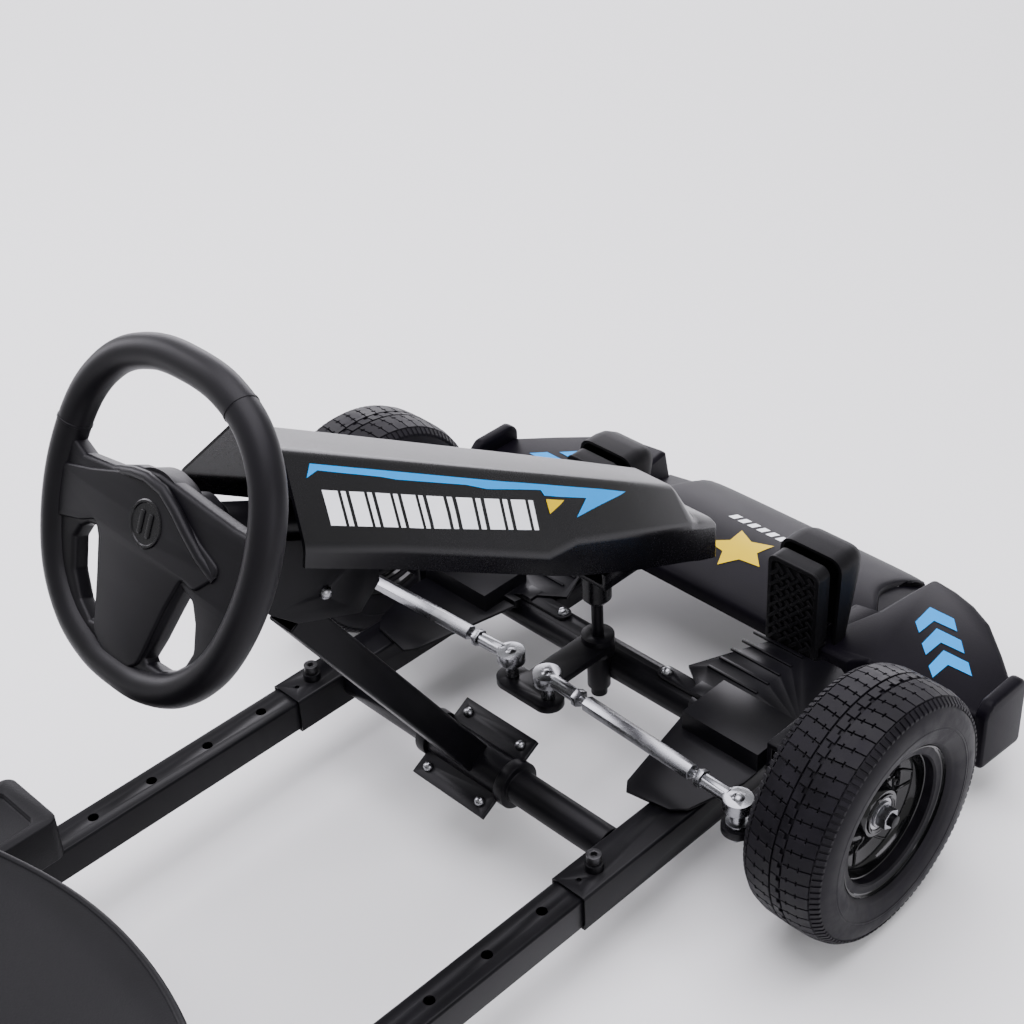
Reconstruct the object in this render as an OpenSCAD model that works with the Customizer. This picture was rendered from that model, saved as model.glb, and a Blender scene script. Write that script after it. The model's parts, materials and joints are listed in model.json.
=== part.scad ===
// Two-pedal go kart: a ladder frame that slides in length, with a bonnet, a nose fairing,
// a tie-rod steering linkage, four air tyres and a bucket seat.
// X points to the driver's right, Y forward and Z up, and the ground is Z = 0.
// Places are measured from the frame's datum, a cross line close to the front axle.

/* [Overall] */
// Distance from the front axle to the rear axle
wheelbase = 850; // [800:5:950]
// Distance between the centres of a left and a right tyre
track = 670; // [650:2:720]
// Reach of the tail hoop behind the rear axle
tail_reach = 158; // [150:1:220]

/* [Wheels] */
// Outside diameter of a tyre
tyre_d = 254; // [240:1:270]
// Width of a tyre
tyre_w = 90; // [76:1:100]
// Diameter of a rim over its flanges
rim_d = 150; // [136:1:170]
// Width of a rim over its flanges
rim_w = 74; // [60:1:74]
// Diameter of the axles
axle_d = 12; // [10:0.5:14]
// Outside diameter of a wheel bearing
bearing_d = 32; // [28:1:38]
// Width of a wheel bearing
bearing_w = 10; // [8:0.5:12]
// Width of a wheel's hub
hub_w = 40; // [34:1:46]

/* [Frame] */
// Outside width of the square side sleeves
sleeve_w = 40; // [38:0.5:44]
// Wall of the frame's tubes
tube_wall = 2; // [1.5:0.1:3]
// Distance from the middle of the kart to a side sleeve
rail_x = 195.7; // [185:0.5:200]
// Length of a side sleeve behind the datum
sleeve_tail = 230; // [220:1:260]
// Distance between the holes in a rail
hole_pitch = 66.8; // [60:0.2:72]
// Diameter of the holes in a rail
rail_hole_d = 10.5; // [8:0.5:14]
// Diameter of the front beam
beam_d = 38; // [34:1:42]
// Diameter of the cross tube that carries the steering post
cross_d = 34; // [28:1:38]
// Width of the square steering post
post_w = 30; // [25:1:34]

/* [Steering] */
// Diameter of the steering wheel along the middle of its rim
wheel_d = 244; // [220:2:270]
// Thickness of the steering wheel's rim
grip_d = 28; // [22:1:32]
// Slope of the steering column
column_tilt = 26; // [22:1:32]
// Diameter of the steering shafts
shaft_d = 12; // [10:0.5:14]
// Diameter of the kingpins
kingpin_d = 12; // [10:0.5:14]
// Distance from the lower steering shaft to the studs of its drop arm
pitman_r = 97.7; // [90:0.5:105]
// Distance between the two studs on the drop arm
stud_gap = 49.2; // [44:0.2:56]
// Diameter of the ball in a rod end
ball_d = 16; // [14:0.5:18]
// Width over the flats of a tie rod
rod_flats = 14; // [12:0.5:16]

/* [Pedals] */
// Width of a pedal pad
pad_w = 62; // [50:1:70]
// Height of a pedal pad
pad_h = 112; // [90:1:120]
// Distance from the middle of the kart to the middle of a pedal
pedal_x = 138; // [118:1:144]

/* [Seat] */
// Width of the bucket seat
seat_w = 390; // [340:5:420]
// Height of the backrest above the seat pan
seat_back_h = 370; // [300:5:420]
// Depth of the seat pan
seat_depth = 250; // [220:5:300]
// Thickness of the seat shell
seat_wall = 6; // [5:0.5:9]

/* [Clearances] */
// Radial running clearance of a shaft in its bush
run_fit = 0.05; // [0.03:0.01:0.09]
// Gap between pieces that move past each other
gap = 0.3; // [0.3:0.05:0.5]
// Gap left at a welded or seated joint
seat_gap = 0.05; // [0.02:0.01:0.1]

/* [Hidden] */
$fn = 64;
left = -1;
right = 1;

// heights and places along the kart, from the datum
axle_z = 127;
axle_y = 8;
rear_axle_y = axle_y - wheelbase;
nose_y = 386;
tail_y = rear_axle_y - tail_reach;
datum = [0, -(nose_y + tail_y) / 2, tyre_d / 2 - axle_z];
wheel_x = track / 2;

// frame
rail_z = 84;
rail_w = sleeve_w - 2 * tube_wall - 1;
beam_y = 43;
beam_z = 90;
rail_front_y = -115;
rail_back_y = rear_axle_y - 70;
first_hole_y = -129.4;
lock_hole_y = first_hole_y - hole_pitch;
hole_count = 9;
cross_y = -156;
cross_z = 88;
clamp_tilt = 30;
clamp_len = 96;
clamp_wall = 3;
clamp_reach = 24;
clamp_bolt_x = 36;
clamp_bolt_reach = 33;
collar_d = 48;
bolt_d = 6;
post_tilt = 32.9;
post_len = 345;
bracket_wall = 3;
bracket_in = post_w / 2 + gap;

// steering
scrub = 73;
kingpin_x = wheel_x - scrub;
knuckle_d = 26;
knuckle_h = 38;
ear_t = 6;
ball_z = 154;
arm_z = 125;
arm_t = 8;
pitman_y = 20;
outer_ball = [kingpin_x + 7.6, -88];
inner_ball = [stud_gap / 2, pitman_y - pitman_r];
rod_len = norm(outer_ball - inner_ball);
rod_turn = atan2(outer_ball[1] - inner_ball[1], outer_ball[0] - inner_ball[0]);
rod_end_len = 55;
housing_d = 28;
stud_d = 8;
lug_hole_d = 16;
boss_d = 24;
boss_top = 112;
pitman_hub_top = 136;
pitman_low = 60;
wheel_at = [0, -452, 524];
column_down = [0, cos(column_tilt), -sin(column_tilt)];
// the two steering shafts meet at an elbow, where bevel gears join them
elbow_z = wheel_at[2] - (pitman_y - wheel_at[1]) * tan(column_tilt);
elbow_s = (pitman_y - wheel_at[1]) / cos(column_tilt);
gear_teeth = 16;
gear_r = 20;
gear_cone = 45 + column_tilt / 2;
gear_reach = gear_r / sin(gear_cone);
column_tube_d = shaft_d + 18;

// wheels
axle_end_x = wheel_x + 36;
web_x = 12;

// pedals
hinge_y = 172;
fairing_z = 117;
fairing_t = 3;
hinge_z = fairing_z + 8;

// seat
seat_front_y = -571;
seat_front_z = 187;
seat_dip = 34;

module on_datum() { translate(datum) children(); }
module sided(side) { mirror([side == left ? 1 : 0, 0, 0]) children(); }
module both_sides() { children(); mirror([1, 0, 0]) children(); }
module along_x(x, y, z) { translate([x, y, z]) rotate([0, 90, 0]) children(); }
module on_column(s) {
    translate(wheel_at + s * column_down) rotate([90 - column_tilt, 0, 0]) children();
}
module on_clamp() {
    translate([0, cross_y, cross_z]) rotate([clamp_tilt, 0, 0]) children();
}
module on_post() {
    translate([0, cross_y, cross_z]) rotate([post_tilt, 0, 0]) children();
}

// a square with rounded corners, made of plain squares and circles
module soft_square(w, h, r) {
    square([w - 2 * r, h], center = true);
    square([w, h - 2 * r], center = true);
    for (i = [-1, 1], j = [-1, 1]) translate([i * (w / 2 - r), j * (h / 2 - r)]) circle(r);
}
module square_tube(w, wall, length) {
    linear_extrude(length) difference() {
        soft_square(w, w, wall + 1);
        soft_square(w - 2 * wall, w - 2 * wall, 1);
    }
}
module soft_bar(w, h, length, r) { linear_extrude(length) soft_square(w, h, r); }
module ring(d_out, d_in, length) {
    difference() {
        cylinder(d = d_out, h = length);
        translate([0, 0, -1]) cylinder(d = d_in, h = length + 2);
    }
}
module hex_nut(flats, hole, h) {
    difference() {
        cylinder(d = flats / cos(30), h = h, $fn = 6);
        translate([0, 0, -1]) cylinder(d = hole, h = h + 2);
    }
}
module dome_head(d, h) {
    intersection() {
        translate([0, 0, -(d * d / 4 - h * h) / (2 * h)]) sphere((d * d / 4 + h * h) / (2 * h));
        cylinder(d = d + 1, h = h + 1);
    }
}

// closed solid between rings of points; each ring has the same number of points
function flatten(lists) = [for (l = lists) for (p = l) p];
module loft(rings) {
    n = len(rings[0]);
    last = len(rings) - 1;
    sides = [for (k = [0:last - 1], i = [0:n - 1])
        let (j = (i + 1) % n, a = k * n)
        each [[a + i, a + j, a + n + j], [a + i, a + n + j, a + n + i]]];
    caps = [[for (i = [n - 1:-1:0]) i], [for (i = [0:n - 1]) last * n + i]];
    polyhedron(flatten(rings), concat(sides, caps));
}

// ---------- front frame ----------
module front_beam() {
    color("#1b1b1f") on_datum() difference() {
        union() {
            along_x(-(kingpin_x - 24), beam_y, beam_z) cylinder(d = beam_d, h = 2 * (kingpin_x - 24));
            translate([0, pitman_y, 71]) cylinder(d = boss_d, h = boss_top - 71);
        }
        along_x(-kingpin_x, beam_y, beam_z) cylinder(d = beam_d - 2 * tube_wall, h = 2 * kingpin_x);
        translate([0, pitman_y, 60]) cylinder(d = shaft_d + 4, h = 60);
        translate([0, pitman_y, 71]) cylinder(d = shaft_d + 4, h = 60);
        for (x = [-72, 72]) translate([x, beam_y, beam_z]) cylinder(d = bolt_d, h = beam_d);
    }
}

module sleeve() {
    difference() {
        union() {
            translate([rail_x, beam_y, rail_z]) rotate([90, 0, 0])
                square_tube(sleeve_w, tube_wall, beam_y + sleeve_tail);
            translate([rail_x, lock_hole_y, rail_z + sleeve_w / 2 - 0.5]) cylinder(d = 18, h = 8.5);
        }
        along_x(0, beam_y, beam_z) cylinder(d = beam_d + 2 * seat_gap, h = 2 * rail_x);
        translate([rail_x, lock_hole_y, rail_z]) cylinder(d = 8 + 2 * run_fit, h = sleeve_w);
        translate([rail_x, lock_hole_y - 20, rail_z]) cylinder(d = 5, h = sleeve_w);
    }
}
module side_sleeves() { color("#1b1b1f") on_datum() both_sides() sleeve(); }

// the clevis that holds a kingpin, on the end of the beam
module kingpin_bracket() {
    web_at = kingpin_x - 24 + seat_gap;
    ear_gap = knuckle_h / 2 + gap;
    difference() {
        union() {
            translate([web_at, axle_y - 16, beam_z - beam_d / 2])
                cube([6, beam_y + beam_d / 2 - axle_y + 16, axle_z + ear_gap + ear_t - beam_z + beam_d / 2]);
            for (z = [axle_z - ear_gap - ear_t, axle_z + ear_gap]) {
                translate([kingpin_x, axle_y, z]) cylinder(d = 32, h = ear_t);
                translate([web_at, axle_y - 16, z]) cube([kingpin_x - web_at, 32, ear_t]);
            }
        }
        translate([kingpin_x, axle_y, 0]) cylinder(d = kingpin_d + 2 * run_fit, h = 300);
    }
}
module kingpin_brackets() { color("#1b1b1f") on_datum() both_sides() kingpin_bracket(); }

module kingpin() {
    top = axle_z + knuckle_h / 2 + gap + ear_t + seat_gap;
    low = axle_z - knuckle_h / 2 - gap - ear_t - seat_gap;
    translate([kingpin_x, axle_y, low - 9]) cylinder(d = kingpin_d, h = top - low + 10);
    translate([kingpin_x, axle_y, top]) cylinder(d = 19 / cos(30), h = 7, $fn = 6);
    translate([kingpin_x, axle_y, low - 8]) cylinder(d = 19 / cos(30), h = 8, $fn = 6);
}
module kingpins() { color("#c9ccd2") on_datum() both_sides() kingpin(); }

module cross_tube() {
    half = rail_x - sleeve_w / 2 - seat_gap;
    color("#1b1b1f") on_datum() difference() {
        union() {
            along_x(-half, cross_y, cross_z) cylinder(d = cross_d, h = 2 * half);
            for (x = [-clamp_len / 2 - 12 - gap, clamp_len / 2 + gap])
                along_x(x, cross_y, cross_z) cylinder(d = collar_d, h = 12);
        }
        along_x(-half - 1, cross_y, cross_z) cylinder(d = cross_d - 2 * tube_wall, h = 2 * half + 2);
    }
}

// one half of the split clamp: a half shell with a bolting flange at each side
module clamp_half() {
    reach = clamp_bolt_reach + 12;
    inner = cross_d / 2 + seat_gap;
    difference() {
        union() {
            along_x(-clamp_len / 2, 0, 0) cylinder(r = inner + clamp_wall, h = clamp_len);
            translate([-clamp_len / 2, -reach, seat_gap]) cube([clamp_len, 2 * reach, clamp_wall]);
        }
        along_x(-clamp_len, 0, 0) cylinder(r = inner, h = 2 * clamp_len);
        translate([-clamp_len, -2 * reach, seat_gap - 60]) cube([2 * clamp_len, 4 * reach, 60]);
        for (x = [-clamp_bolt_x, clamp_bolt_x], y = [-clamp_bolt_reach, clamp_bolt_reach])
            translate([x, y, -10]) cylinder(d = bolt_d + 2 * run_fit, h = 40);
    }
}
module clamp_upper() { color("#1b1b1f") on_datum() on_clamp() clamp_half(); }
module clamp_lower() { color("#1b1b1f") on_datum() on_clamp() mirror([0, 0, 1]) clamp_half(); }

module clamp_bolt() {
    top = seat_gap + clamp_wall + seat_gap;
    translate([0, 0, -top - 8]) cylinder(d = bolt_d, h = 2 * top + 9);
    translate([0, 0, top]) dome_head(11, 5);
    translate([0, 0, -top - 5]) hex_nut(10, bolt_d - 0.2, 5);
}
module footplate_screw() {
    base = beam_z + beam_d / 2 + 3 + 2 * seat_gap;
    translate([72, beam_y, base]) dome_head(13, 5);
    translate([72, beam_y, base - 14]) cylinder(d = bolt_d - 0.2, h = 15);
}
// the bolts of the clamp, the bolt across the column bracket and the footplates' screws
module frame_bolts() {
    cross_reach = bracket_in + bracket_wall + seat_gap;
    color("#c9ccd2") on_datum() {
        both_sides() footplate_screw();
        on_clamp() for (x = [-clamp_bolt_x, clamp_bolt_x], y = [-clamp_bolt_reach, clamp_bolt_reach])
            translate([x, y, 0]) clamp_bolt();
        translate([0, bracket_bolt_at[0], bracket_bolt_at[1]]) rotate([0, 90, 0]) {
            translate([0, 0, -cross_reach - 7]) cylinder(d = bolt_d, h = 2 * cross_reach + 8);
            translate([0, 0, cross_reach]) dome_head(13, 5);
            translate([0, 0, -cross_reach - 5]) hex_nut(10, bolt_d - 0.2, 5);
        }
    }
}

// the post stands on the upper clamp half and is coped round the cross tube
module steering_post() {
    color("#1b1b1f") on_datum() difference() {
        on_post() square_tube(post_w, tube_wall, post_len);
        along_x(-post_w, cross_y, cross_z)
            cylinder(r = cross_d / 2 + clamp_wall + 2 * seat_gap, h = 2 * post_w);
        on_clamp() translate([-post_w, -80, -80]) cube([2 * post_w, 160, 80 + clamp_wall + 2 * seat_gap]);
    }
}

// side plates of the column bracket, drawn in the Y-Z plane
bracket_bolt_at = [-319, 392];
bracket_outline = [[-376, 402], [-350, 378], [-286, 352], [-262, 372], [-262, 418], [-384, 478]];
module column_bracket() {
    tube_from = elbow_s - gear_reach - 6;
    color("#1b1b1f") on_datum() difference() {
        union() {
            for (x = [-bracket_in - bracket_wall, bracket_in])
                translate([x, 0, 0]) rotate([90, 0, 90]) linear_extrude(bracket_wall)
                    polygon(bracket_outline);
            translate([-bracket_in - 1, 0, 0]) rotate([90, 0, 90])
                linear_extrude(2 * bracket_in + 2) polygon([[-384, 472], [-262, 412],
                    [-262, 418], [-384, 478]]);
            on_column(tube_from) cylinder(d = column_tube_d, h = tube_from - 60);
        }
        on_column(tube_from + 10) cylinder(d = shaft_d + 8, h = tube_from);
        translate([-40, bracket_bolt_at[0], bracket_bolt_at[1]]) rotate([0, 90, 0])
            cylinder(d = bolt_d + 2 * run_fit, h = 80);
    }
}

// plain bearing bushes of the steering column and of the lower steering shaft
module bush(length, flange) {
    difference() {
        union() {
            cylinder(d = shaft_d + 4 - 2 * seat_gap, h = length);
            if (flange > 0) translate([0, 0, length]) cylinder(d = boss_d + 4, h = flange);
        }
        translate([0, 0, -1]) cylinder(d = shaft_d + 2 * run_fit, h = length + flange + 2);
    }
}
module steering_bushes() {
    color("#e8e4da") on_datum() {
        for (s = [elbow_s - gear_reach - 8, 84]) on_column(s) ring(shaft_d + 8 - 2 * seat_gap, shaft_d + 2 * run_fit, 22);
        translate([0, pitman_y, boss_top - 20 + seat_gap]) bush(20, 2);
        translate([0, pitman_y, 72]) bush(20, 0);
    }
}

// ---------- bonnet ----------
// each row: [y, z, half width] of the top edge, of the ledge and of the skirt's lower edge
bonnet_rows = [
    [[-350, 553, 30], [-375, 498, 79], [-379, 481, 80]],
    [[-282, 513, 30], [-282, 444, 75], [-284, 424, 75]],
    [[-111, 412, 29], [-111, 339, 70], [-112, 318, 70]],
    [[-70, 388, 28], [-70, 331, 65], [-72, 293, 65]],
    [[16, 337, 27], [16, 292, 62], [14, 250, 62]],
    [[106, 283, 26], [106, 246, 50], [104, 204, 50]],
    [[122, 248, 28], [124, 236, 46], [124, 192, 46]],
    [[156, 222, 30], [158, 218, 40], [158, 175, 40]]];
bonnet_wall = 3;
function bonnet_ring(row, in, drop) = let (t = row[0], l = row[1], b = row[2]) [
    [-b[2] + in, b[0], b[1] - drop], [b[2] - in, b[0], b[1] - drop],
    [l[2] - in, l[0], l[1] - in / 2], [t[2] - in / 2, t[0], t[1] - in],
    [-t[2] + in / 2, t[0], t[1] - in], [-l[2] + in, l[0], l[1] - in / 2]];
function shifted(points, dy) = [for (p = points) p + [0, dy, 0]];
module bonnet() {
    rows = len(bonnet_rows);
    inner = [for (i = [0:rows - 1]) bonnet_ring(bonnet_rows[i], bonnet_wall, 20)];
    color("#141416") on_datum() difference() {
        loft([for (row = bonnet_rows) bonnet_ring(row, 0, 0)]);
        loft(concat([shifted(inner[0], -20)], [for (i = [0:rows - 2]) inner[i]],
            [shifted(inner[rows - 1], -bonnet_wall)]));
    }
}

// round case of the bevel gears, with the collar of the lower shaft and its hanger plate
function skirt_half(y) = lookup(y, [for (row = bonnet_rows) [row[2][0], row[2][2]]]);
module gear_housing() {
    plate_z = 246;
    case_r = gear_reach + 8;
    half = skirt_half(pitman_y + 2) - bonnet_wall - gap;
    color("#141416") on_datum() difference() {
        union() {
            translate([0, pitman_y, elbow_z]) sphere(case_r);
            translate([0, pitman_y, 184]) cylinder(d = 30, h = elbow_z - 184);
            translate([0, pitman_y, 178]) cylinder(d1 = 20, d2 = 30, h = 6);
            translate([-half, pitman_y - 48, plate_z]) cube([2 * half, 50, 5]);
            for (x = [-half, half - 4]) translate([x, pitman_y - 48, plate_z]) cube([4, 50, 18]);
        }
        translate([0, pitman_y, elbow_z]) sphere(case_r - 3);
        translate([0, pitman_y, 170]) cylinder(d = shaft_d + 2 * run_fit, h = elbow_z - 170);
        on_column(elbow_s) cylinder(d = column_tube_d + 2 * seat_gap, h = 60);
    }
}

// a bevel gear whose apex is at the origin and whose wide end is up
tooth_flank = [[gear_cone - 4.5, 6.9], [gear_cone, 4.4], [gear_cone + 4, 2.7]];
module bevel_gear(phase) {
    high = gear_r / tan(gear_cone);
    face = 5;
    teeth = [for (k = [0:gear_teeth - 1])
        let (a = (k + phase) * 360 / gear_teeth)
        each concat([for (i = [0:2]) gear_point(high, tooth_flank[i], a - tooth_flank[i][1])],
            [for (i = [2:-1:0]) gear_point(high, tooth_flank[i], a + tooth_flank[i][1])])];
    difference() {
        union() {
            translate([0, 0, high]) mirror([0, 0, 1])
                linear_extrude(face, scale = (high - face) / high) polygon(teeth);
            translate([0, 0, high]) cylinder(d = shaft_d + 10, h = 7);
        }
        cylinder(d = shaft_d + 2 * seat_gap, h = 40);
    }
}
function gear_point(high, flank, a) = high * tan(flank[0]) * [cos(a), sin(a)];
module column_gear() { color("#9a9da3") on_datum() on_column(elbow_s) bevel_gear(0); }
module shaft_gear() {
    color("#9a9da3") on_datum() translate([0, pitman_y, elbow_z]) mirror([0, 0, 1]) bevel_gear(0.5);
}

// ---------- nose ----------
module nose_frame() {
    bar_y = 200;
    bar_z = 88;
    color("#1b1b1f") on_datum() difference() {
        union() {
            both_sides() {
                translate([118, bar_y, 84]) rotate([90, 0, 0]) soft_bar(24, 24, bar_y - beam_y, 3);
                translate([160, bar_y, bar_z]) cylinder(d = 20, h = fairing_z - fairing_t - seat_gap - bar_z);
            }
            along_x(-215, bar_y, bar_z) cylinder(d = 22, h = 430);
        }
        along_x(-kingpin_x, beam_y, beam_z) cylinder(d = beam_d + 2 * seat_gap, h = 2 * kingpin_x);
        both_sides() translate([118, bar_y + 40, 84]) rotate([90, 0, 0]) soft_bar(20, 20, 300, 1);
    }
}

// plan of the fairing's top, right half, from the middle of the rear edge to the middle in front
fairing_half = [[0, 165], [196, 165], [215, 184], [340, 184], [354, 196], [354, 236],
    [306, 278], [269, 311], [241, 326], [185, 336], [150, 306], [0, 306]];
function mirrored(points) = concat(points, [for (i = [len(points) - 1:-1:0])
    if (points[i][0] > 0) [-points[i][0], points[i][1]]]);
module front_fairing() {
    t = fairing_t;
    color("#1d1d22") on_datum() difference() {
        union() {
            translate([0, 0, fairing_z - t]) linear_extrude(t) polygon(mirrored(fairing_half));
            // sloping front panel and its lip
            rotate([90, 0, 90]) translate([0, 0, -147]) linear_extrude(294)
                polygon([[305, fairing_z - t], [305, fairing_z], [nose_y - 2, 72], [nose_y, 68],
                    [nose_y, 46], [nose_y - t, 46], [nose_y - t, 70 - t / 2]]);
            both_sides() {
                // wing's front panels
                loft([[[147, 305, 114], [147, 305, 117], [147, 385, 72], [147, 382, 68]],
                      [[185, 334, 114], [185, 336, 117], [187, 372, 76], [187, 369, 72]],
                      [[241, 324, 114], [241, 326, 117], [246, 352, 82], [245, 349, 79]],
                      [[306, 276, 114], [306, 278, 117], [316, 296, 78], [314, 294, 76]],
                      [[352, 234, 114], [354, 236, 117], [354, 246, 72], [351, 244, 72]]]);
                // end plate with its raised ridge
                translate([347, 182, 65]) cube([7, 62, 55]);
                translate([347, 184, 117]) rotate([-90, 0, 0]) cylinder(d = 14, h = 58);
                translate([340, 184, 117]) cube([12, 58, 8]);
                // rear lips
                translate([215, 184, 96]) cube([130, t, 20]);
            }
            translate([-196, 165, 100]) cube([392, t, 16]);
        }
        both_sides() translate([160, 200, 100]) cylinder(d = bolt_d, h = 40);
        both_sides() translate([118, 160, 84]) cube([26, 30, 40], center = true);
    }
}

// ---------- footplates and pedals ----------
footplate_z = 106;
footplate_rear = [[120, 26], [146, -98], [154, -108], [200, -100], [212, -88], [228, -28], [228, 26]];
footplate_front = [[84, 62], [90, 58], [134, 26], [228, 26], [228, 60], [220, 148], [200, 158],
    [178, 158], [174, 150], [122, 150]];
module footplate() {
    t = 3;
    lift = 6;
    translate([0, 0, footplate_z]) linear_extrude(t) polygon(footplate_rear);
    translate([0, 0, footplate_z]) linear_extrude(lift + t) polygon([[120, 20], [228, 20], [228, 28], [118, 28]]);
    translate([0, 0, footplate_z + lift]) linear_extrude(t) polygon(footplate_front);
    for (y = [72:18:144]) translate([100, y, footplate_z + lift + t - 0.5]) cube([62, 3, 2.5]);
    translate([72, beam_y, beam_z + beam_d / 2 + seat_gap]) difference() {
        union() {
            cylinder(d = 18, h = 3);
            translate([0, -9, 0]) cube([52, 18, 3]);
        }
        translate([0, 0, -1]) cylinder(d = bolt_d + 2 * run_fit, h = 6);
    }
    translate([110, beam_y - 9, footplate_z + 3]) cube([16, 18, lift + 0.5]);
    translate([136, -8, footplate_z]) cube([92, 38, 24]);
    translate([136, 28, footplate_z + lift]) cube([92, 26, 24 - lift]);
}
module footplates() { color("#1f1f23") on_datum() both_sides() footplate(); }

pin_d = 6;
pad_depth = 15;
pad_low = 102;
pad_gap = 2;
// hinge cheeks and the leaning housing that stands behind a pedal pad
module pedal_base() {
    w = pad_w + 2 * pad_gap + 8;
    foot = fairing_z + seat_gap;
    top = pad_low + pad_h;
    side = [[hinge_y + 6, foot], [hinge_y + 12, top], [hinge_y + 62, top], [hinge_y + 34, foot]];
    translate([pedal_x, 0, 0]) difference() {
        union() {
            for (x = [-w / 2, w / 2 - 4]) translate([x, 0, 0]) rotate([90, 0, 90])
                linear_extrude(4) polygon(side);
            translate([-w / 2, 0, 0]) rotate([90, 0, 90]) linear_extrude(w)
                polygon([side[3] - [4, 0], side[2] - [4, 0], side[2], side[3]]);
            translate([-w / 2, hinge_y + 6, foot]) cube([w, 30, 3]);
            for (x = [-14, 10]) {
                translate([x, hinge_y - 5, foot]) cube([4, 14, hinge_z - foot]);
                translate([x, hinge_y, hinge_z]) rotate([0, 90, 0]) cylinder(d = 11, h = 4);
            }
        }
        translate([-60, hinge_y, hinge_z]) rotate([0, 90, 0]) cylinder(d = pin_d + 2 * run_fit, h = 120);
        translate([0, 0, foot - 60]) cube([200, 600, 120], center = true);
    }
}
module pedal_bases() { color("#17171a") on_datum() both_sides() pedal_base(); }

module pedal_pins() {
    color("#9a9da3") on_datum() both_sides() translate([pedal_x - 26, hinge_y, hinge_z])
        rotate([0, 90, 0]) cylinder(d = pin_d, h = 52);
}

// close-wound return springs round the hinge pins
module pedal_springs() {
    wire = 1.6;
    color("#8c8f95") on_datum() both_sides() translate([pedal_x, hinge_y, hinge_z])
        rotate([0, 90, 0]) for (k = [-4:4]) translate([0, 0, k * wire])
            rotate_extrude() translate([pin_d / 2 + wire, 0]) circle(d = wire + 0.1, $fn = 16);
}

// a hinged pad: a deep moulded shell whose face carries a raised tread
module pedal_pad(side) {
    wall_low = fairing_z + 4;
    color("#17171a") on_datum() sided(side) translate([pedal_x, hinge_y, 0]) difference() {
        union() {
            translate([0, -pad_depth + 5, pad_low + pad_h / 2]) rotate([90, 0, 0]) linear_extrude(5)
                soft_square(pad_w, pad_h, 10);
            difference() {
                translate([0, 2, pad_low + pad_h / 2]) rotate([90, 0, 0])
                    linear_extrude(pad_depth - 2) difference() {
                        soft_square(pad_w, pad_h, 10);
                        translate([0, -4]) soft_square(pad_w - 8, pad_h, 6);
                    }
                translate([0, 0, wall_low - 50]) cube([100, 100, 100], center = true);
            }
            for (x = [-24, 20]) {
                translate([x, -pad_depth + 2, hinge_z - 3]) cube([4, pad_depth - 2, 8]);
                translate([x, 0, hinge_z]) rotate([0, 90, 0]) cylinder(d = 10, h = 4);
            }
        }
        translate([-60, 0, hinge_z]) rotate([0, 90, 0]) cylinder(d = pin_d + 2 * run_fit, h = 120);
    }
}
module pedal_pad_left() { pedal_pad(left); }
module pedal_pad_right() { pedal_pad(right); }

// screws that clamp the rails in the sleeves; each tip stops just above its rail
module rail_clamp_screw() {
    top = rail_z + sleeve_w / 2 + 8 + seat_gap;
    tip = rail_z + rail_w / 2 + gap;
    translate([rail_x, lock_hole_y, tip]) cylinder(d = 8, h = top - tip + 1);
    translate([rail_x, lock_hole_y, top]) difference() {
        cylinder(d = 14, h = 9);
        translate([0, 0, 4]) cylinder(d = 6 / cos(30), h = 6, $fn = 6);
    }
}
module rail_clamp_screws() { color("#111113") on_datum() both_sides() rail_clamp_screw(); }

// ---------- steering ----------
module steering_wheel() {
    r = wheel_d / 2;
    color("#141416") on_datum() on_column(0) difference() {
        union() {
            rotate_extrude($fn = 96) translate([r, 0]) circle(d = grip_d, $fn = 32);
            translate([0, 0, -26]) cylinder(d = 92, h = 20);
            translate([0, 0, -52]) cylinder(d = 46, h = 27);
            for (a = [0, 180]) rotate([0, 0, a]) translate([30, -22, -18]) cube([r - 36, 44, 10]);
            rotate([0, 0, -90]) translate([30, -25, -18]) cube([r - 36, 50, 10]);
        }
        translate([0, 0, -60]) cylinder(d = shaft_d + 2 * seat_gap, h = 44);
        translate([0, 0, -7]) cylinder(d = 46, h = 5);
    }
}
module wheel_badge() {
    color("#0e0e10") on_datum() on_column(0) translate([0, 0, -7 + seat_gap]) cylinder(d = 45, h = 3);
}
module steering_shaft() {
    low = elbow_s - 10;
    color("#9a9da3") on_datum() {
        on_column(low) cylinder(d = shaft_d, h = low - 17);
        on_column(0) translate([0, 0, -52 - seat_gap - 6]) ring(22, shaft_d - 1, 6);
    }
}

module pitman_shaft() {
    color("#1b1b1f") on_datum() {
        translate([0, pitman_y, pitman_low]) cylinder(d = shaft_d, h = elbow_z - 10 - pitman_low);
        translate([0, pitman_y, 71 - gap - 11]) cylinder(d = 17, h = 11);
    }
}

// drop arm: a hub on the upright shaft and a cross plate that carries two ball studs
module pitman_arm() {
    under = arm_z - arm_t / 2;
    hub_low = boss_top + 2 + gap;
    stud_y = pitman_y - pitman_r;
    color("#1b1b1f") on_datum() difference() {
        union() {
            translate([0, pitman_y, hub_low]) cylinder(d = 34, h = pitman_hub_top - hub_low);
            translate([-17, stud_y, under]) cube([34, pitman_y - stud_y, arm_t]);
            for (x = [-stud_gap / 2, stud_gap / 2])
                translate([x, stud_y, under]) cylinder(d = 32, h = arm_t);
            translate([-stud_gap / 2, stud_y - 16, under]) cube([stud_gap, 32, arm_t]);
            translate([-3, stud_y, under - 8]) cube([6, pitman_r - 15, 9]);
        }
        translate([0, pitman_y, 100]) cylinder(d = shaft_d + 2 * seat_gap, h = 60);
        for (x = [-stud_gap / 2, stud_gap / 2])
            translate([x, stud_y, 100]) cylinder(d = stud_d + 2 * run_fit, h = 60);
    }
}

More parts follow.
